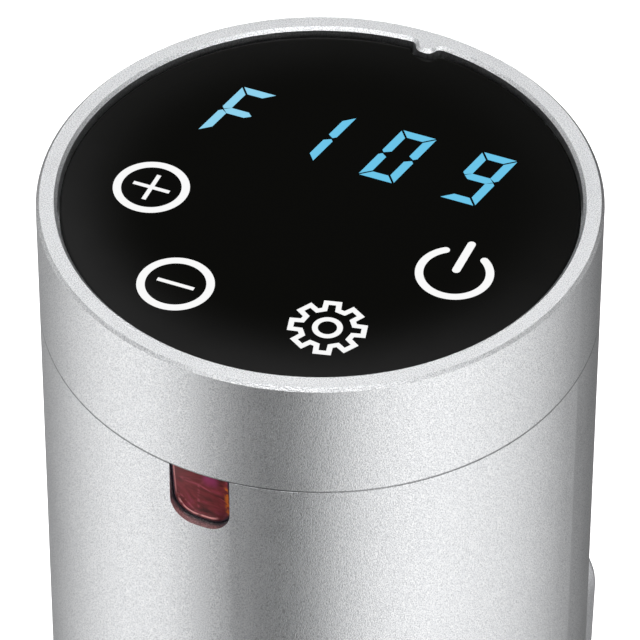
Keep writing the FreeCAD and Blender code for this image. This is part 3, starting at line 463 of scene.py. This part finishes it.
def setCamera():
    # a long lens that looks down at the top ring
    top = cadBox[1].z
    turn = math.radians(view["turn"])
    optics = bpy.data.cameras.new("camera")
    optics.lens = view["lens"]
    optics.sensor_width = view["sensor"]
    optics.clip_start = view["near"]
    optics.clip_end = view["far"]
    camera = bpy.data.objects.new("camera", optics)
    bpy.context.scene.collection.objects.link(camera)
    camera.location = (math.sin(turn) * view["reach"], -math.cos(turn) * view["reach"], top + view["rise"])
    aim = Euler((math.radians(90 - view["pitch"]), 0.0, turn)).to_matrix()
    camera.rotation_euler = (aim @ Matrix.Rotation(math.radians(view["lean"]), 3, "Z")).to_euler()
    bpy.context.scene.camera = camera


setCamera()
print("camera set")

ringLook = {"tone": (0.832, 0.845, 0.865), "pits": 8200.0, "speckle": 0.58, "clouds": 120.0, "rough": 0.33,
            "pitDepth": 1.3e-5, "seam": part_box("upper_housing")[1].z, "seamHalf": 0.0002, "seamShadowStrength": 0.62}
leverLook = {"tone": (0.75, 0.76, 0.78), "pits": 8200.0, "speckle": 0.5, "clouds": 140.0, "rough": 0.36,
             "pitDepth": 1.2e-5}
glassLook = {"tone": (0.0012, 0.0012, 0.0008), "edgeGlowTone": (0.015, 0.015, 0.015), "radius": 27.5 * mm,
             "edgeFrom": 0.55, "falloff": 2.2, "front": (12.0 * mm, -27.0 * mm),
             "left": (12.0 * mm, -28.0 * mm), "gloss": 0.09, "rough": 0.06}
bodyAluminium = blastedAluminium("bodyAluminium", ringLook)
leverAluminium = blastedAluminium("leverAluminium", leverLook)
panelGlass = tintedGlass("panelGlass", glassLook)
skirtSteel = brushedSteel("skirtSteel", {"tone": (0.70, 0.70, 0.71), "rough": 0.27, "lines": 0.5,
                                         "stretch": (50.0, 50.0, 6500.0)})
shaftSteel = brushedSteel("shaftSteel", {"tone": (0.74, 0.74, 0.74), "rough": 0.2, "lines": 0.3,
                                         "stretch": (120.0, 120.0, 5000.0)})
probeSteel = brushedSteel("probeSteel", {"tone": (0.72, 0.72, 0.72), "rough": 0.22, "lines": 0.28,
                                         "stretch": (200.0, 200.0, 4200.0)})
bracketSteel = brushedSteel("bracketSteel", {"tone": (0.52, 0.52, 0.53), "rough": 0.34, "lines": 0.35,
                                             "stretch": (4800.0, 90.0, 90.0)})
screwSteel = brushedSteel("screwSteel", {"tone": (0.50, 0.50, 0.51), "rough": 0.26, "lines": 0.35,
                                         "stretch": (700.0, 5000.0, 700.0)})
springSteel = brushedSteel("springSteel", {"tone": (0.60, 0.60, 0.61), "rough": 0.24, "lines": 0.3,
                                           "stretch": (4000.0, 700.0, 700.0)})
zincPlate = platedSteel("zincPlate", {"tone": (0.70, 0.70, 0.67), "rough": 0.36, "spangle": 900.0})
canSteel = platedSteel("canSteel", {"tone": (0.56, 0.56, 0.55), "rough": 0.33, "spangle": 420.0})
sinkAluminium = brushedSteel("sinkAluminium", {"tone": (0.5, 0.5, 0.52), "rough": 0.4, "lines": 0.3,
                                               "stretch": (4000.0, 4000.0, 60.0)})
turnedBrass = brushedSteel("turnedBrass", {"tone": (0.80, 0.58, 0.27), "rough": 0.26, "lines": 0.35,
                                           "stretch": (150.0, 150.0, 5200.0)})
heaterSheath = heatedSheath("heaterSheath", {
    "rough": 0.24,
    "chalk": 0.35,
    # from clean steel through straw and purple to blue
    "tints": [(0.3, (0.50, 0.49, 0.47)), (0.48, (0.52, 0.44, 0.33)), (0.6, (0.38, 0.33, 0.36)),
              (0.74, (0.36, 0.38, 0.44))],
})
print("metal finishes made")

blackNylon = mouldedPlastic("blackNylon", {"tone": (0.018, 0.018, 0.019), "rough": 0.5, "texture": 2600.0})
footPlastic = mouldedPlastic("footPlastic", {"tone": (0.02, 0.02, 0.021), "rough": 0.46, "texture": 2200.0})
impellerPlastic = mouldedPlastic("impellerPlastic", {
    "tone": (0.03, 0.03, 0.032), "rough": 0.3, "texture": 3500.0, "skinDepth": 6e-6})
framePlastic = mouldedPlastic("framePlastic", {
    "tone": (0.11, 0.11, 0.115), "rough": 0.48, "texture": 1900.0})
displayPlastic = mouldedPlastic("displayPlastic", {
    "tone": (0.035, 0.036, 0.04), "rough": 0.4, "texture": 3000.0})
chipEpoxy = mouldedPlastic("chipEpoxy", {"tone": (0.022, 0.022, 0.024), "rough": 0.55, "texture": 6000.0})
relayCase = mouldedPlastic("relayCase", {"tone": (0.03, 0.11, 0.38), "rough": 0.28, "texture": 3800.0,
                                         "skinDepth": 5e-6})
sleeveFilm = mouldedPlastic("sleeveFilm", {"tone": (0.02, 0.035, 0.10), "rough": 0.22, "texture": 1500.0,
                                           "skinDepth": 4e-6})
terminalNylon = mouldedPlastic("terminalNylon", {
    "tone": (0.05, 0.24, 0.09), "rough": 0.42, "texture": 2400.0})
bearingPlastic = mouldedPlastic("bearingPlastic", {
    "tone": (0.72, 0.70, 0.64), "rough": 0.4, "texture": 2800.0, "dust": 0.1})
phenolic = mouldedPlastic("phenolic", {"tone": (0.11, 0.045, 0.02), "rough": 0.3, "texture": 2000.0,
                                       "skinDepth": 6e-6})
ledEpoxy = mouldedPlastic("ledEpoxy", {"tone": (0.55, 0.03, 0.02), "rough": 0.12, "texture": 900.0,
                                       "skinDepth": 2e-6, "dust": 0.05})
fuseGlass = mouldedPlastic("fuseGlass", {"tone": (0.55, 0.6, 0.6), "rough": 0.1, "texture": 700.0,
                                         "skinDepth": 2e-6, "dust": 0.1})
blackRubber = softRubber("blackRubber", {"tone": (0.022, 0.022, 0.023), "rough": 0.72})
padSilicone = softRubber("padSilicone", {"tone": (0.035, 0.035, 0.037), "rough": 0.66})
redSilicone = softRubber("redSilicone", {"tone": (0.36, 0.05, 0.025), "rough": 0.58})
gasketFoam = softRubber("gasketFoam", {"tone": (0.03, 0.03, 0.03), "rough": 0.85})
greenBoard = circuitBoard("greenBoard", {"tone": (0.012, 0.09, 0.035), "tracks": 420.0, "pads": 390.0})
chokeWinding = woundWire("chokeWinding", {"tone": (0.62, 0.23, 0.08), "across": "Z", "turns": 320.0})
armatureIron = stackedIron("armatureIron", {"tone": (0.30, 0.27, 0.25), "across": "Z", "leaves": 300.0})
transformerIron = stackedIron("transformerIron", {
    "tone": (0.24, 0.23, 0.21), "across": "X", "leaves": 320.0})
ferrite = mouldedPlastic("ferrite", {"tone": (0.05, 0.05, 0.052), "rough": 0.62, "texture": 1400.0})
print("plastic and rubber finishes made")

finishOf = {
    bodyAluminium: ("bezel_ring", "upper_housing"),
    leverAluminium: ("clamp_lever",),
    panelGlass: ("touch_panel",),
    skirtSteel: ("skirt",),
    shaftSteel: ("motor_shaft", "drive_shaft", "shaft_tube"),
    probeSteel: ("temperature_probe", "level_sensors"),
    bracketSteel: ("clamp_bracket",),
    screwSteel: ("bracket_screws", "clamp_pin"),
    springSteel: ("clamp_spring",),
    zincPlate: ("carrier_screws", "motor_screws", "nut_plate", "motor_mount"),
    canSteel: ("motor_can",),
    sinkAluminium: ("heat_sink",),
    turnedBrass: ("shaft_coupling",),
    heaterSheath: ("heater_coil",),
    blackNylon: ("collar", "cord_gland", "gland_nut"),
    footPlastic: ("end_cap", "intake_grille"),
    impellerPlastic: ("impeller",),
    framePlastic: ("display_carrier", "main_chassis", "motor_cradle"),
    displayPlastic: ("led_display", "buzzer"),
    chipEpoxy: ("controller_chip", "triac"),
    relayCase: ("relay",),
    sleeveFilm: ("capacitors",),
    terminalNylon: ("terminal_block",),
    bearingPlastic: ("shaft_bushings", "motor_end_bell"),
    phenolic: ("thermal_cutout",),
    ledEpoxy: ("indicator_led", "indicator_window"),
    fuseGlass: ("fuse",),
    blackRubber: ("collar_seal", "shaft_seal", "motor_isolators", "touch_contacts"),
    padSilicone: ("jaw_pad", "body_pad"),
    redSilicone: ("heater_grommets",),
    gasketFoam: ("panel_gasket",),
    greenBoard: ("display_board", "power_board"),
    chokeWinding: ("emc_choke",),
    armatureIron: ("motor_armature",),
    transformerIron: ("transformer",),
    ferrite: ("motor_magnets",),
}
for material, names in finishOf.items():
    for name in names:
        slots = nodes[name].data.materials
        if not slots:
            slots.append(material)
        for i in range(len(slots)):
            slots[i] = material
print("finishes given to the parts")

icons = {
    "turn": 2.2,  # the whole panel sits turned a little in its ring
    "lift": 0.015 * mm,
    "thick": 0.02 * mm,
    "plus": (-17.4, -4.7),
    "minus": (-8.9, -17.7),
    "gear": (8.25, -17.82),
    "power": (17.2, -4.9),
    "ringRadius": 3.65,
    "ringStroke": 0.88,
    "barLength": 4.15,
    "barStroke": 0.47,
    "gearTip": 3.86,
    "gearRoot": 2.82,
    "gearStroke": 0.58,
    "gearStart": 14.0,
    "teeth": 8,
    "toothRoot": 14.5,  # half the angle that a tooth takes at its root, and at its tip
    "toothTip": 10.0,
    "hubRadius": 1.3,
    "hubStroke": 0.6,
    "powerRadius": 3.7,
    "powerStroke": 0.88,
    "powerGap": 36.0,
    "powerFrom": 0.5,
    "powerTo": 4.85,
}
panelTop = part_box("touch_panel")[1].z
panelTurn = Matrix.Rotation(math.radians(icons["turn"]), 4, "Z")


def litPrint(name, tone, paler=None):
    # light through a printed window: even, with the slight mottle of the ink
    made = Finish(name, gloss=0.1, rough=0.4, base=0.02, glow=1.0)
    ink = made.grain(2600.0, 3.0, 0.6)
    shade = rgba(tone)
    if paler:
        # paler towards the left of the panel
        shade = made.mix(made.between(made.axis(0), -2.0 * mm, -12.0 * mm), shade, rgba(paler))
    made.feed("Emission Color", made.mix((ink - 0.35) * 0.16, shade, rgba(tinted(tone, 0.6))))
    return made.material


iconWhite = litPrint("iconWhite", (0.93, 0.93, 0.93))
digitBlue = litPrint("digitBlue", (0.118, 0.53, 0.79), (0.245, 0.62, 0.83))


def panelPiece(name, build, material):
    low = panelTop + icons["lift"]
    high = low + icons["thick"]

    def drawn(form):
        build(form, low / mm, high / mm)
        bmesh.ops.transform(form, matrix=panelTurn @ Matrix.Scale(mm, 4), verts=form.verts)

    return newPiece(name, meshFrom(name, drawn), "housing", material)


def plusIcon(form, low, high):
    x, y = icons["plus"]
    half = icons["barLength"] / 2
    thin = icons["barStroke"] / 2
    addLine(form, arc((x, y), icons["ringRadius"], 0, 360, 72), icons["ringStroke"], low, high, closed=True)
    cross = [(-half, -thin), (-thin, -thin), (-thin, -half), (thin, -half), (thin, -thin), (half, -thin),
             (half, thin), (thin, thin), (thin, half), (-thin, half), (-thin, thin), (-half, thin)]
    addPlate(form, [(x + dx, y + dy) for dx, dy in cross], low, high)


def minusIcon(form, low, high):
    x, y = icons["minus"]
    half = icons["barLength"] / 2
    addLine(form, arc((x, y), icons["ringRadius"], 0, 360, 72), icons["ringStroke"], low, high, closed=True)
    addLine(form, [(x - half, y), (x + half, y)], icons["barStroke"], low, high, rounded=False)


def gearIcon(form, low, high):
    x, y = icons["gear"]
    root, tip = icons["toothRoot"], icons["toothTip"]
    outline = []
    for tooth in range(icons["teeth"]):
        middle = icons["gearStart"] + tooth * 360 / icons["teeth"]
        for lean, radius in ((-root, "gearRoot"), (-tip, "gearTip"), (tip, "gearTip"), (root, "gearRoot")):
            angle = math.radians(middle + lean)
            outline.append((x + icons[radius] * math.cos(angle), y + icons[radius] * math.sin(angle)))
    addLine(form, outline, icons["gearStroke"], low, high, closed=True)
    addLine(form, arc((x, y), icons["hubRadius"], 0, 360, 48), icons["hubStroke"], low, high, closed=True)


def powerIcon(form, low, high):
    x, y = icons["power"]
    gap = icons["powerGap"]
    ring = arc((x, y), icons["powerRadius"], 90 + gap, 360 - 2 * gap, 60)
    addLine(form, ring, icons["powerStroke"], low, high)
    stem = [(x, y + icons["powerFrom"]), (x, y + icons["powerTo"])]
    addLine(form, stem, icons["powerStroke"], low, high)


for name, build in (("plusIcon", plusIcon), ("minusIcon", minusIcon), ("gearIcon", gearIcon),
                    ("powerIcon", powerIcon)):
    panelPiece(name, build, iconWhite)
print("touch icons made")

lens = {"corner": 2.7 * mm, "bevel": 0.12 * mm, "drop": 0.1 * mm, "lean": 0.85 * mm, "columns": 14,
        "arcRows": 8, "sideRows": 5, "rim": 0.26 * mm, "line": 0.62 * mm, "folds": (260.0, 260.0, 420.0),
        "facets": (210.0, 210.0, 300.0),
        "tones": [(0.3, (0.012, 0.003, 0.003)), (0.46, (0.075, 0.009, 0.010)), (0.6, (0.125, 0.014, 0.018)),
                  (0.75, (0.16, 0.018, 0.045))],
        # what lies over those tones, in this order: how strong it is, and its own tone; streak, lit and edge
        # are painted highlights, shade and rim are painted shade
        "layers": {
            "streak": (0.5, (0.30, 0.06, 0.09)),
            "grey": (0.55, (0.13, 0.035, 0.038)),
            "violet": (0.6, (0.20, 0.02, 0.09)),
            "shade": (0.8, (0.03, 0.002, 0.002)),
            "amber": (1.0, (0.34, 0.08, 0.008)),
            "lit": (1.0, (0.66, 0.28, 0.27)),
            "edge": (0.7, (0.42, 0.17, 0.17)),
            "rim": (0.92, (0.012, 0.008, 0.018)),
        }}


def redLens(name):
    # clear red acrylic: folds of painted light in it, an amber side, painted shade low on the right and
    # round its rim, and painted highlights along its lower edge and its left side
    made = Finish(name, gloss=0.07)
    x, z = made.axis(0), made.axis(2)
    lowest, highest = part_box("indicator_window")
    height = (z - lowest.z) / (highest.z - lowest.z)
    # how far inside the outline, whose lower corners are round
    sideways = (abs(x) - (highest.x - lens["corner"])).atLeast(0.0)
    below = ((lowest.z + lens["corner"]) - z).atLeast(0.0)
    inset = lens["corner"] - (sideways * sideways + below * below) ** 0.5
    folded = {"Vector": made.stretched(lens["folds"]), "Scale": 1.0, "Detail": 3.0, "Roughness": 0.6,
              "Distortion": 1.8}
    fold = made.node("TexNoise", None, folded)
    facet = made.cells(1.0, "DISTANCE_TO_EDGE", 0.9, lens["facets"])
    highlightLine = made.between(abs(inset - lens["line"]), 0.2 * mm, 0.06 * mm)
    edgeGlint = made.between(abs(inset - lens["rim"] * 1.5), 0.14 * mm, 0.05 * mm)
    atSide = made.between(x, 2.55 * mm, 3.0 * mm)
    speckled = made.between(made.grain(1500.0, 2.0), 0.36, 0.52)
    broken = made.between(made.grain(1300.0, 3.0), 0.30, 0.56)
    # where each layer lies
    masks = {
        "streak": (1.0 - made.between(facet, 0.0, 0.05)) * made.between(fold, 0.46, 0.62),
        "grey": made.between(x, 0.6 * mm, -3.0 * mm) * made.between(height, 0.4, 0.9),
        "violet": made.between(abs(x - 1.2 * mm), 1.2 * mm, 0.3 * mm) * made.between(height, 0.7, 0.92),
        # painted shade, low on the right of the lens
        "shade": made.between(x, 0.4 * mm, 3.0 * mm) * made.between(height, 0.5, 0.15),
        "amber": speckled * atSide * made.between(abs(height - 0.55), 0.34, 0.24),
        # painted highlight along the lower edge
        "lit": highlightLine * made.between(height, 0.42, 0.3) * made.between(x, 2.0 * mm, 1.0 * mm) * broken,
        # painted highlight along the upper left edge
        "edge": edgeGlint * made.between(x, -2.4 * mm, -2.9 * mm) * made.between(height, 0.3, 0.5),
        # painted shade round the rim
        "rim": made.between(inset, lens["rim"] * 1.4, lens["rim"] * 0.7),
    }
    inside = made.ramp(fold, lens["tones"])
    for layer, (strength, tone) in lens["layers"].items():
        inside = made.mix(masks[layer] * strength, inside, rgba(tone))
    made.feed("Base Color", inside)
    made.feed("Roughness", 0.12 + fold.swing(0.12))
    made.emboss(fold + facet * 0.6, 5e-5, 0.5)
    return made.material


def buildLens(form):
    lowest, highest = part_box("indicator_window")

    def rows(inset):
        # half width and level, from the top edge down and round the corner to the flat of the base
        corner = lens["corner"] - inset
        bend = lowest.z + lens["corner"]
        side = [(highest.x - inset, highest.z + (bend - highest.z) * i / lens["sideRows"])
                for i in range(lens["sideRows"])]
        turn = [math.pi / 2 * i / lens["arcRows"] for i in range(lens["arcRows"] + 1)]
        straight = highest.x - lens["corner"]
        return side + [(straight + corner * math.cos(a), bend - corner * math.sin(a)) for a in turn]

    def spot(x, z, sunk):
        # on the face, which leans out from its base to its top; or sunk behind it
        height = (z - lowest.z) / (highest.z - lowest.z)
        radius = -lowest.y + lens["lean"] * height - sunk
        return form.verts.new((x, -math.sqrt(radius * radius - x * x), z))

    def across(width, level, sunk):
        columns = lens["columns"]
        return [spot(width * (2 * i / columns - 1), level, sunk) for i in range(columns + 1)]

    def outline(inset, sunk):
        sides = rows(inset)
        foot = across(*sides[-1], sunk)[1:-1]
        left = [spot(-width, level, sunk) for width, level in sides]
        return left + foot + [spot(width, level, sunk) for width, level in reversed(sides)]

    grid = [across(width, level, 0.0) for width, level in rows(lens["bevel"])]
    for upper, lower in zip(grid, grid[1:]):
        for i in range(lens["columns"]):
            form.faces.new((upper[i], upper[i + 1], lower[i + 1], lower[i]))
    front = [row[0] for row in grid] + grid[-1][1:-1] + [row[-1] for row in reversed(grid)]
    shoulder = outline(0.0, lens["drop"])
    rear = outline(0.0, highest.y - lowest.y)
    for outer, inner in ((front, shoulder), (shoulder, rear)):
        for i in range(len(outer) - 1):
            form.faces.new((outer[i], outer[i + 1], inner[i + 1], inner[i]))
    form.faces.new(rear)
    form.faces.new(grid[0] + [shoulder[-1], rear[-1], rear[0], shoulder[0]])
    for loose in [v for v in form.verts if not v.link_faces]:
        form.verts.remove(loose)


lensMesh = meshFrom("windowLens", buildLens)
window = newPiece("windowLens", lensMesh, "housing", redLens("redLens"))
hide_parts("indicator_window")
print("red window made")

digits = {"left": -14.95, "top": 14.2, "wide": 4.0, "tall": 8.45, "pitch": 9.27, "stroke": 0.98, "gap": 0.11,
          "slant": 11.0, "shown": (("F", "aefg"), ("one", "bc"), ("nought", "abcdef"), ("nine", "abcdfg"))}


def segmentOutlines():
    # the outline of each segment of an upright digit, from its top left corner
    w, t, g = digits["wide"], digits["stroke"], digits["gap"]
    half = digits["tall"] / 2
    upperLeft = [(0, -g * 1.4), (t, -t - g * 1.4), (t, -half + t * 0.42 + g), (t * 0.32, -half + g),
                 (0, -half + g + t * 0.3)]
    top = [(g * 1.4, 0), (w - g * 1.4, 0), (w - t - g * 1.4, -t), (t + g * 1.4, -t)]
    middle = [(t * 0.3 + g, -half), (t * 0.9 + g, -half + t / 2), (w - t * 0.9 - g, -half + t / 2),
              (w - t * 0.3 - g, -half), (w - t * 0.9 - g, -half - t / 2), (t * 0.9 + g, -half - t / 2)]

    def mirrored(outline):
        return [(w - x, y) for x, y in outline]

    def flipped(outline):
        return [(x, -2 * half - y) for x, y in outline]

    return {"a": top, "b": mirrored(upperLeft), "c": flipped(mirrored(upperLeft)), "d": flipped(top),
            "e": flipped(upperLeft), "f": upperLeft, "g": middle}


segments = segmentOutlines()
slope = math.tan(math.radians(digits["slant"]))
for place, (name, lit) in enumerate(digits["shown"]):
    left = digits["left"] + place * digits["pitch"]

    def drawDigit(form, low, high):
        for letter in lit:
            outline = [(left + x + y * slope, digits["top"] + y) for x, y in segments[letter]]
            addPlate(form, outline, low, high)

    panelPiece("digit_" + name, drawDigit, digitBlue)
print("digits made")

spring = {"radius": 3.2 * mm, "wire": 0.6 * mm, "pitch": 1.45 * mm, "turns": 8 - 205 / 360,
          "stillArm": 9.0 * mm, "movingArm": 9.5 * mm, "sides": 12, "steps": 28, "step": 0.02}


def addTube(form, path, radius, sides):
    # a round wire along a path, closed at both ends
    rings = []
    side = (path[1] - path[0]).orthogonal().normalized()
    for i, point in enumerate(path):
        along = (path[min(i + 1, len(path) - 1)] - path[max(i - 1, 0)]).normalized()
        side = (side - along * side.dot(along)).normalized()
        across = along.cross(side)
        rings.append([form.verts.new(point + (side * math.cos(2 * math.pi * k / sides)
                                              + across * math.sin(2 * math.pi * k / sides)) * radius)
                      for k in range(sides)])
    for first, after in zip(rings, rings[1:]):
        for k in range(sides):
            j = (k + 1) % sides
            form.faces.new((first[k], first[j], after[j], after[k]))
    form.faces.new(rings[0])
    form.faces.new(rings[-1])


def springPoint(angle):
    # a point of the coil round the pin, by how far it has turned
    pin = frame["joints"][0]["pos_m"]
    reach = spring["pitch"] * spring["turns"]
    along = spring["pitch"] * angle / (2 * math.pi) - reach / 2
    y = pin[1] - spring["radius"] * math.cos(angle)
    z = pin[2] - spring["radius"] * math.sin(angle)
    return Vector((along, y, z))


def heading(angle):
    # the way that the wire runs there
    return (springPoint(angle + spring["step"]) - springPoint(angle)).normalized()


def coilPath():
    # the arm that rests on the bracket, then the turns
    last = 2 * math.pi * spring["turns"]
    count = int(spring["steps"] * spring["turns"])
    coil = [springPoint(last * i / count) for i in range(count + 1)]
    arm = heading(0.0) * spring["stillArm"]
    return [coil[0] - arm, coil[0] - arm * 0.5] + coil


def armPath():
    # the arm that goes with the lever
    last = 2 * math.pi * spring["turns"]
    arm = heading(last) * spring["movingArm"]
    return [springPoint(last) + arm * i / 4 for i in range(5)]


for name, path, body in (("springCoil", coilPath(), "housing"), ("springArm", armPath(), "lever")):
    wire = meshFrom(name, lambda form: addTube(form, path, spring["wire"], spring["sides"]))
    wound = newPiece(name, wire, body, springSteel, smooth=True)
    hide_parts("clamp_spring")
print("clamp spring made")

marks = {"lift": 0.012 * mm, "tall": 0.7 * mm, "steps": 16,
         # each line's level in millimetres, and how many degrees it reaches each way
         "levels": ((66.0, 17.0), (79.0, 7.0), (92.0, 7.0), (122.0, 17.0))}


def etchedMark(name):
    # dark oxide left by the etching, thin in places
    made = Finish(name, metal=0.6)
    wear = made.grain(1400.0, 4.0, 0.7)
    made.feed("Base Color", made.mix(made.between(wear, 0.5, 0.72), rgba(0.035), rgba((0.16, 0.16, 0.165))))
    made.feed("Roughness", 0.5 + wear.swing(0.3))
    made.emboss(wear, 6e-6, 0.4)
    return made.material


def levelMarks(form):
    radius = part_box("skirt")[1].x + marks["lift"]
    for level, spread in marks["levels"]:
        ring = []
        for i in range(marks["steps"] + 1):
            angle = math.radians(-90 + spread * (2 * i / marks["steps"] - 1))
            x, y = radius * math.cos(angle), radius * math.sin(angle)
            ring.append([form.verts.new((x, y, level * mm + side * marks["tall"] / 2)) for side in (-1, 1)])
        for first, after in zip(ring, ring[1:]):
            form.faces.new((first[0], after[0], after[1], first[1]))


marksMesh = meshFrom("levelMarks", levelMarks)
newPiece("levelMarks", marksMesh, "skirt", etchedMark("etchedMark"), smooth=True)
print("level marks made")

studio = {
    # brightness round the horizon, by the turn from the camera towards the right, in degrees
    "round": [(-180, 0.22), (-140, 0.24), (-114, 0.76), (-84, 1.14), (-58, 0.97), (-35, 0.10), (-19, 0.01),
              (-6, 0.08), (14, 0.97), (42, 1.16), (78, 0.98), (104, 0.72), (130, 0.14), (160, 0.08)],
    "roundMost": 1.5,  # a ramp stops at 1, so its tones are parts of this
    # how bright the light above is, as a part of "above", from straight down to straight up
    "overhead": [(0.0, 0.0), (0.66, 0.05), (0.75, 0.08), (0.80, 1.0), (1.0, 1.0)],
    "above": 2.5,
    "aboveLean": 0.14,
    "rise": (0.22, 0.5),  # where the light above takes over from the light round about
    "floorTone": 0.9,
    "floorGlow": 0.62,
    "floorHalf": 12.0,
    "floorDrop": 0.165,
}


def lightStudio():
    world = bpy.data.worlds.new("studio")
    bpy.context.scene.world = world
    world.use_nodes = True
    sky = Graph(world.node_tree)
    way = sky.node("SeparateXYZ", None, {0: sky.node("TexCoord")})
    x, y, z = [Wire(sky, socket) for socket in way.socket.node.outputs]
    turn = math.radians(view["turn"])
    # across is to the camera's right and back is towards the camera
    across = x * math.cos(turn) + y * math.sin(turn)
    back = x * math.sin(turn) - y * math.cos(turn)
    angle = across.maths("ARCTAN2", across, back) / (2 * math.pi) + 0.5
    most = studio["roundMost"]
    stops = [(0.5 + degrees / 360, bright / most) for degrees, bright in studio["round"]]
    stops.append((1.0, studio["round"][0][1] / most))
    band = sky.ramp(angle, stops) * most
    height = z.maths("ARCSINE", z) / math.pi + 0.5
    overhead = sky.ramp(height, studio["overhead"]) * studio["above"]
    rise = sky.between(z, *studio["rise"])
    glow = band * (1.0 - rise) + overhead * rise * (1.0 - across * studio["aboveLean"])
    seen = sky.node("LightPath")
    lamp = sky.node("Background", None, {"Color": glow, "Strength": 1.0})
    pale = sky.node("Background", None, {"Color": rgba(1.0), "Strength": 1.0})
    sky.node("OutputWorld", None, {"Surface": sky.node("MixShader", None, {0: seen, 1: lamp, 2: pale})})


def layFloor():
    # low enough for the skirt and the foot to slide off above it, and clear from below
    def quad(form):
        half = studio["floorHalf"]
        corners = ((-half, -half), (half, -half), (half, half), (-half, half))
        form.faces.new([form.verts.new((x, y, 0.0)) for x, y in corners])

    floor = bpy.data.objects.new("floor", meshFrom("floor", quad))
    bpy.context.scene.collection.objects.link(floor)
    made = Finish("paleFloor", gloss=0.1, rough=0.8, base=studio["floorTone"], light=1.0,
                  glow=studio["floorGlow"])
    below = made.node("NewGeometry", out=6)
    clear = made.node("BsdfTransparent")
    pale = Wire(made, made.shader.outputs[0])
    made.node("OutputMaterial", {"is_active_output": True},
              {"Surface": made.node("MixShader", None, {0: below, 1: pale, 2: clear})})
    floor.data.materials.append(made.material)
    floor.location.z = cadBox[0].z - studio["floorDrop"]
    floor.visible_glossy = False


lightStudio()
layFloor()
bpy.context.scene.view_settings.view_transform = "Standard"
bpy.context.scene.view_settings.look = "None"
print("studio lit")
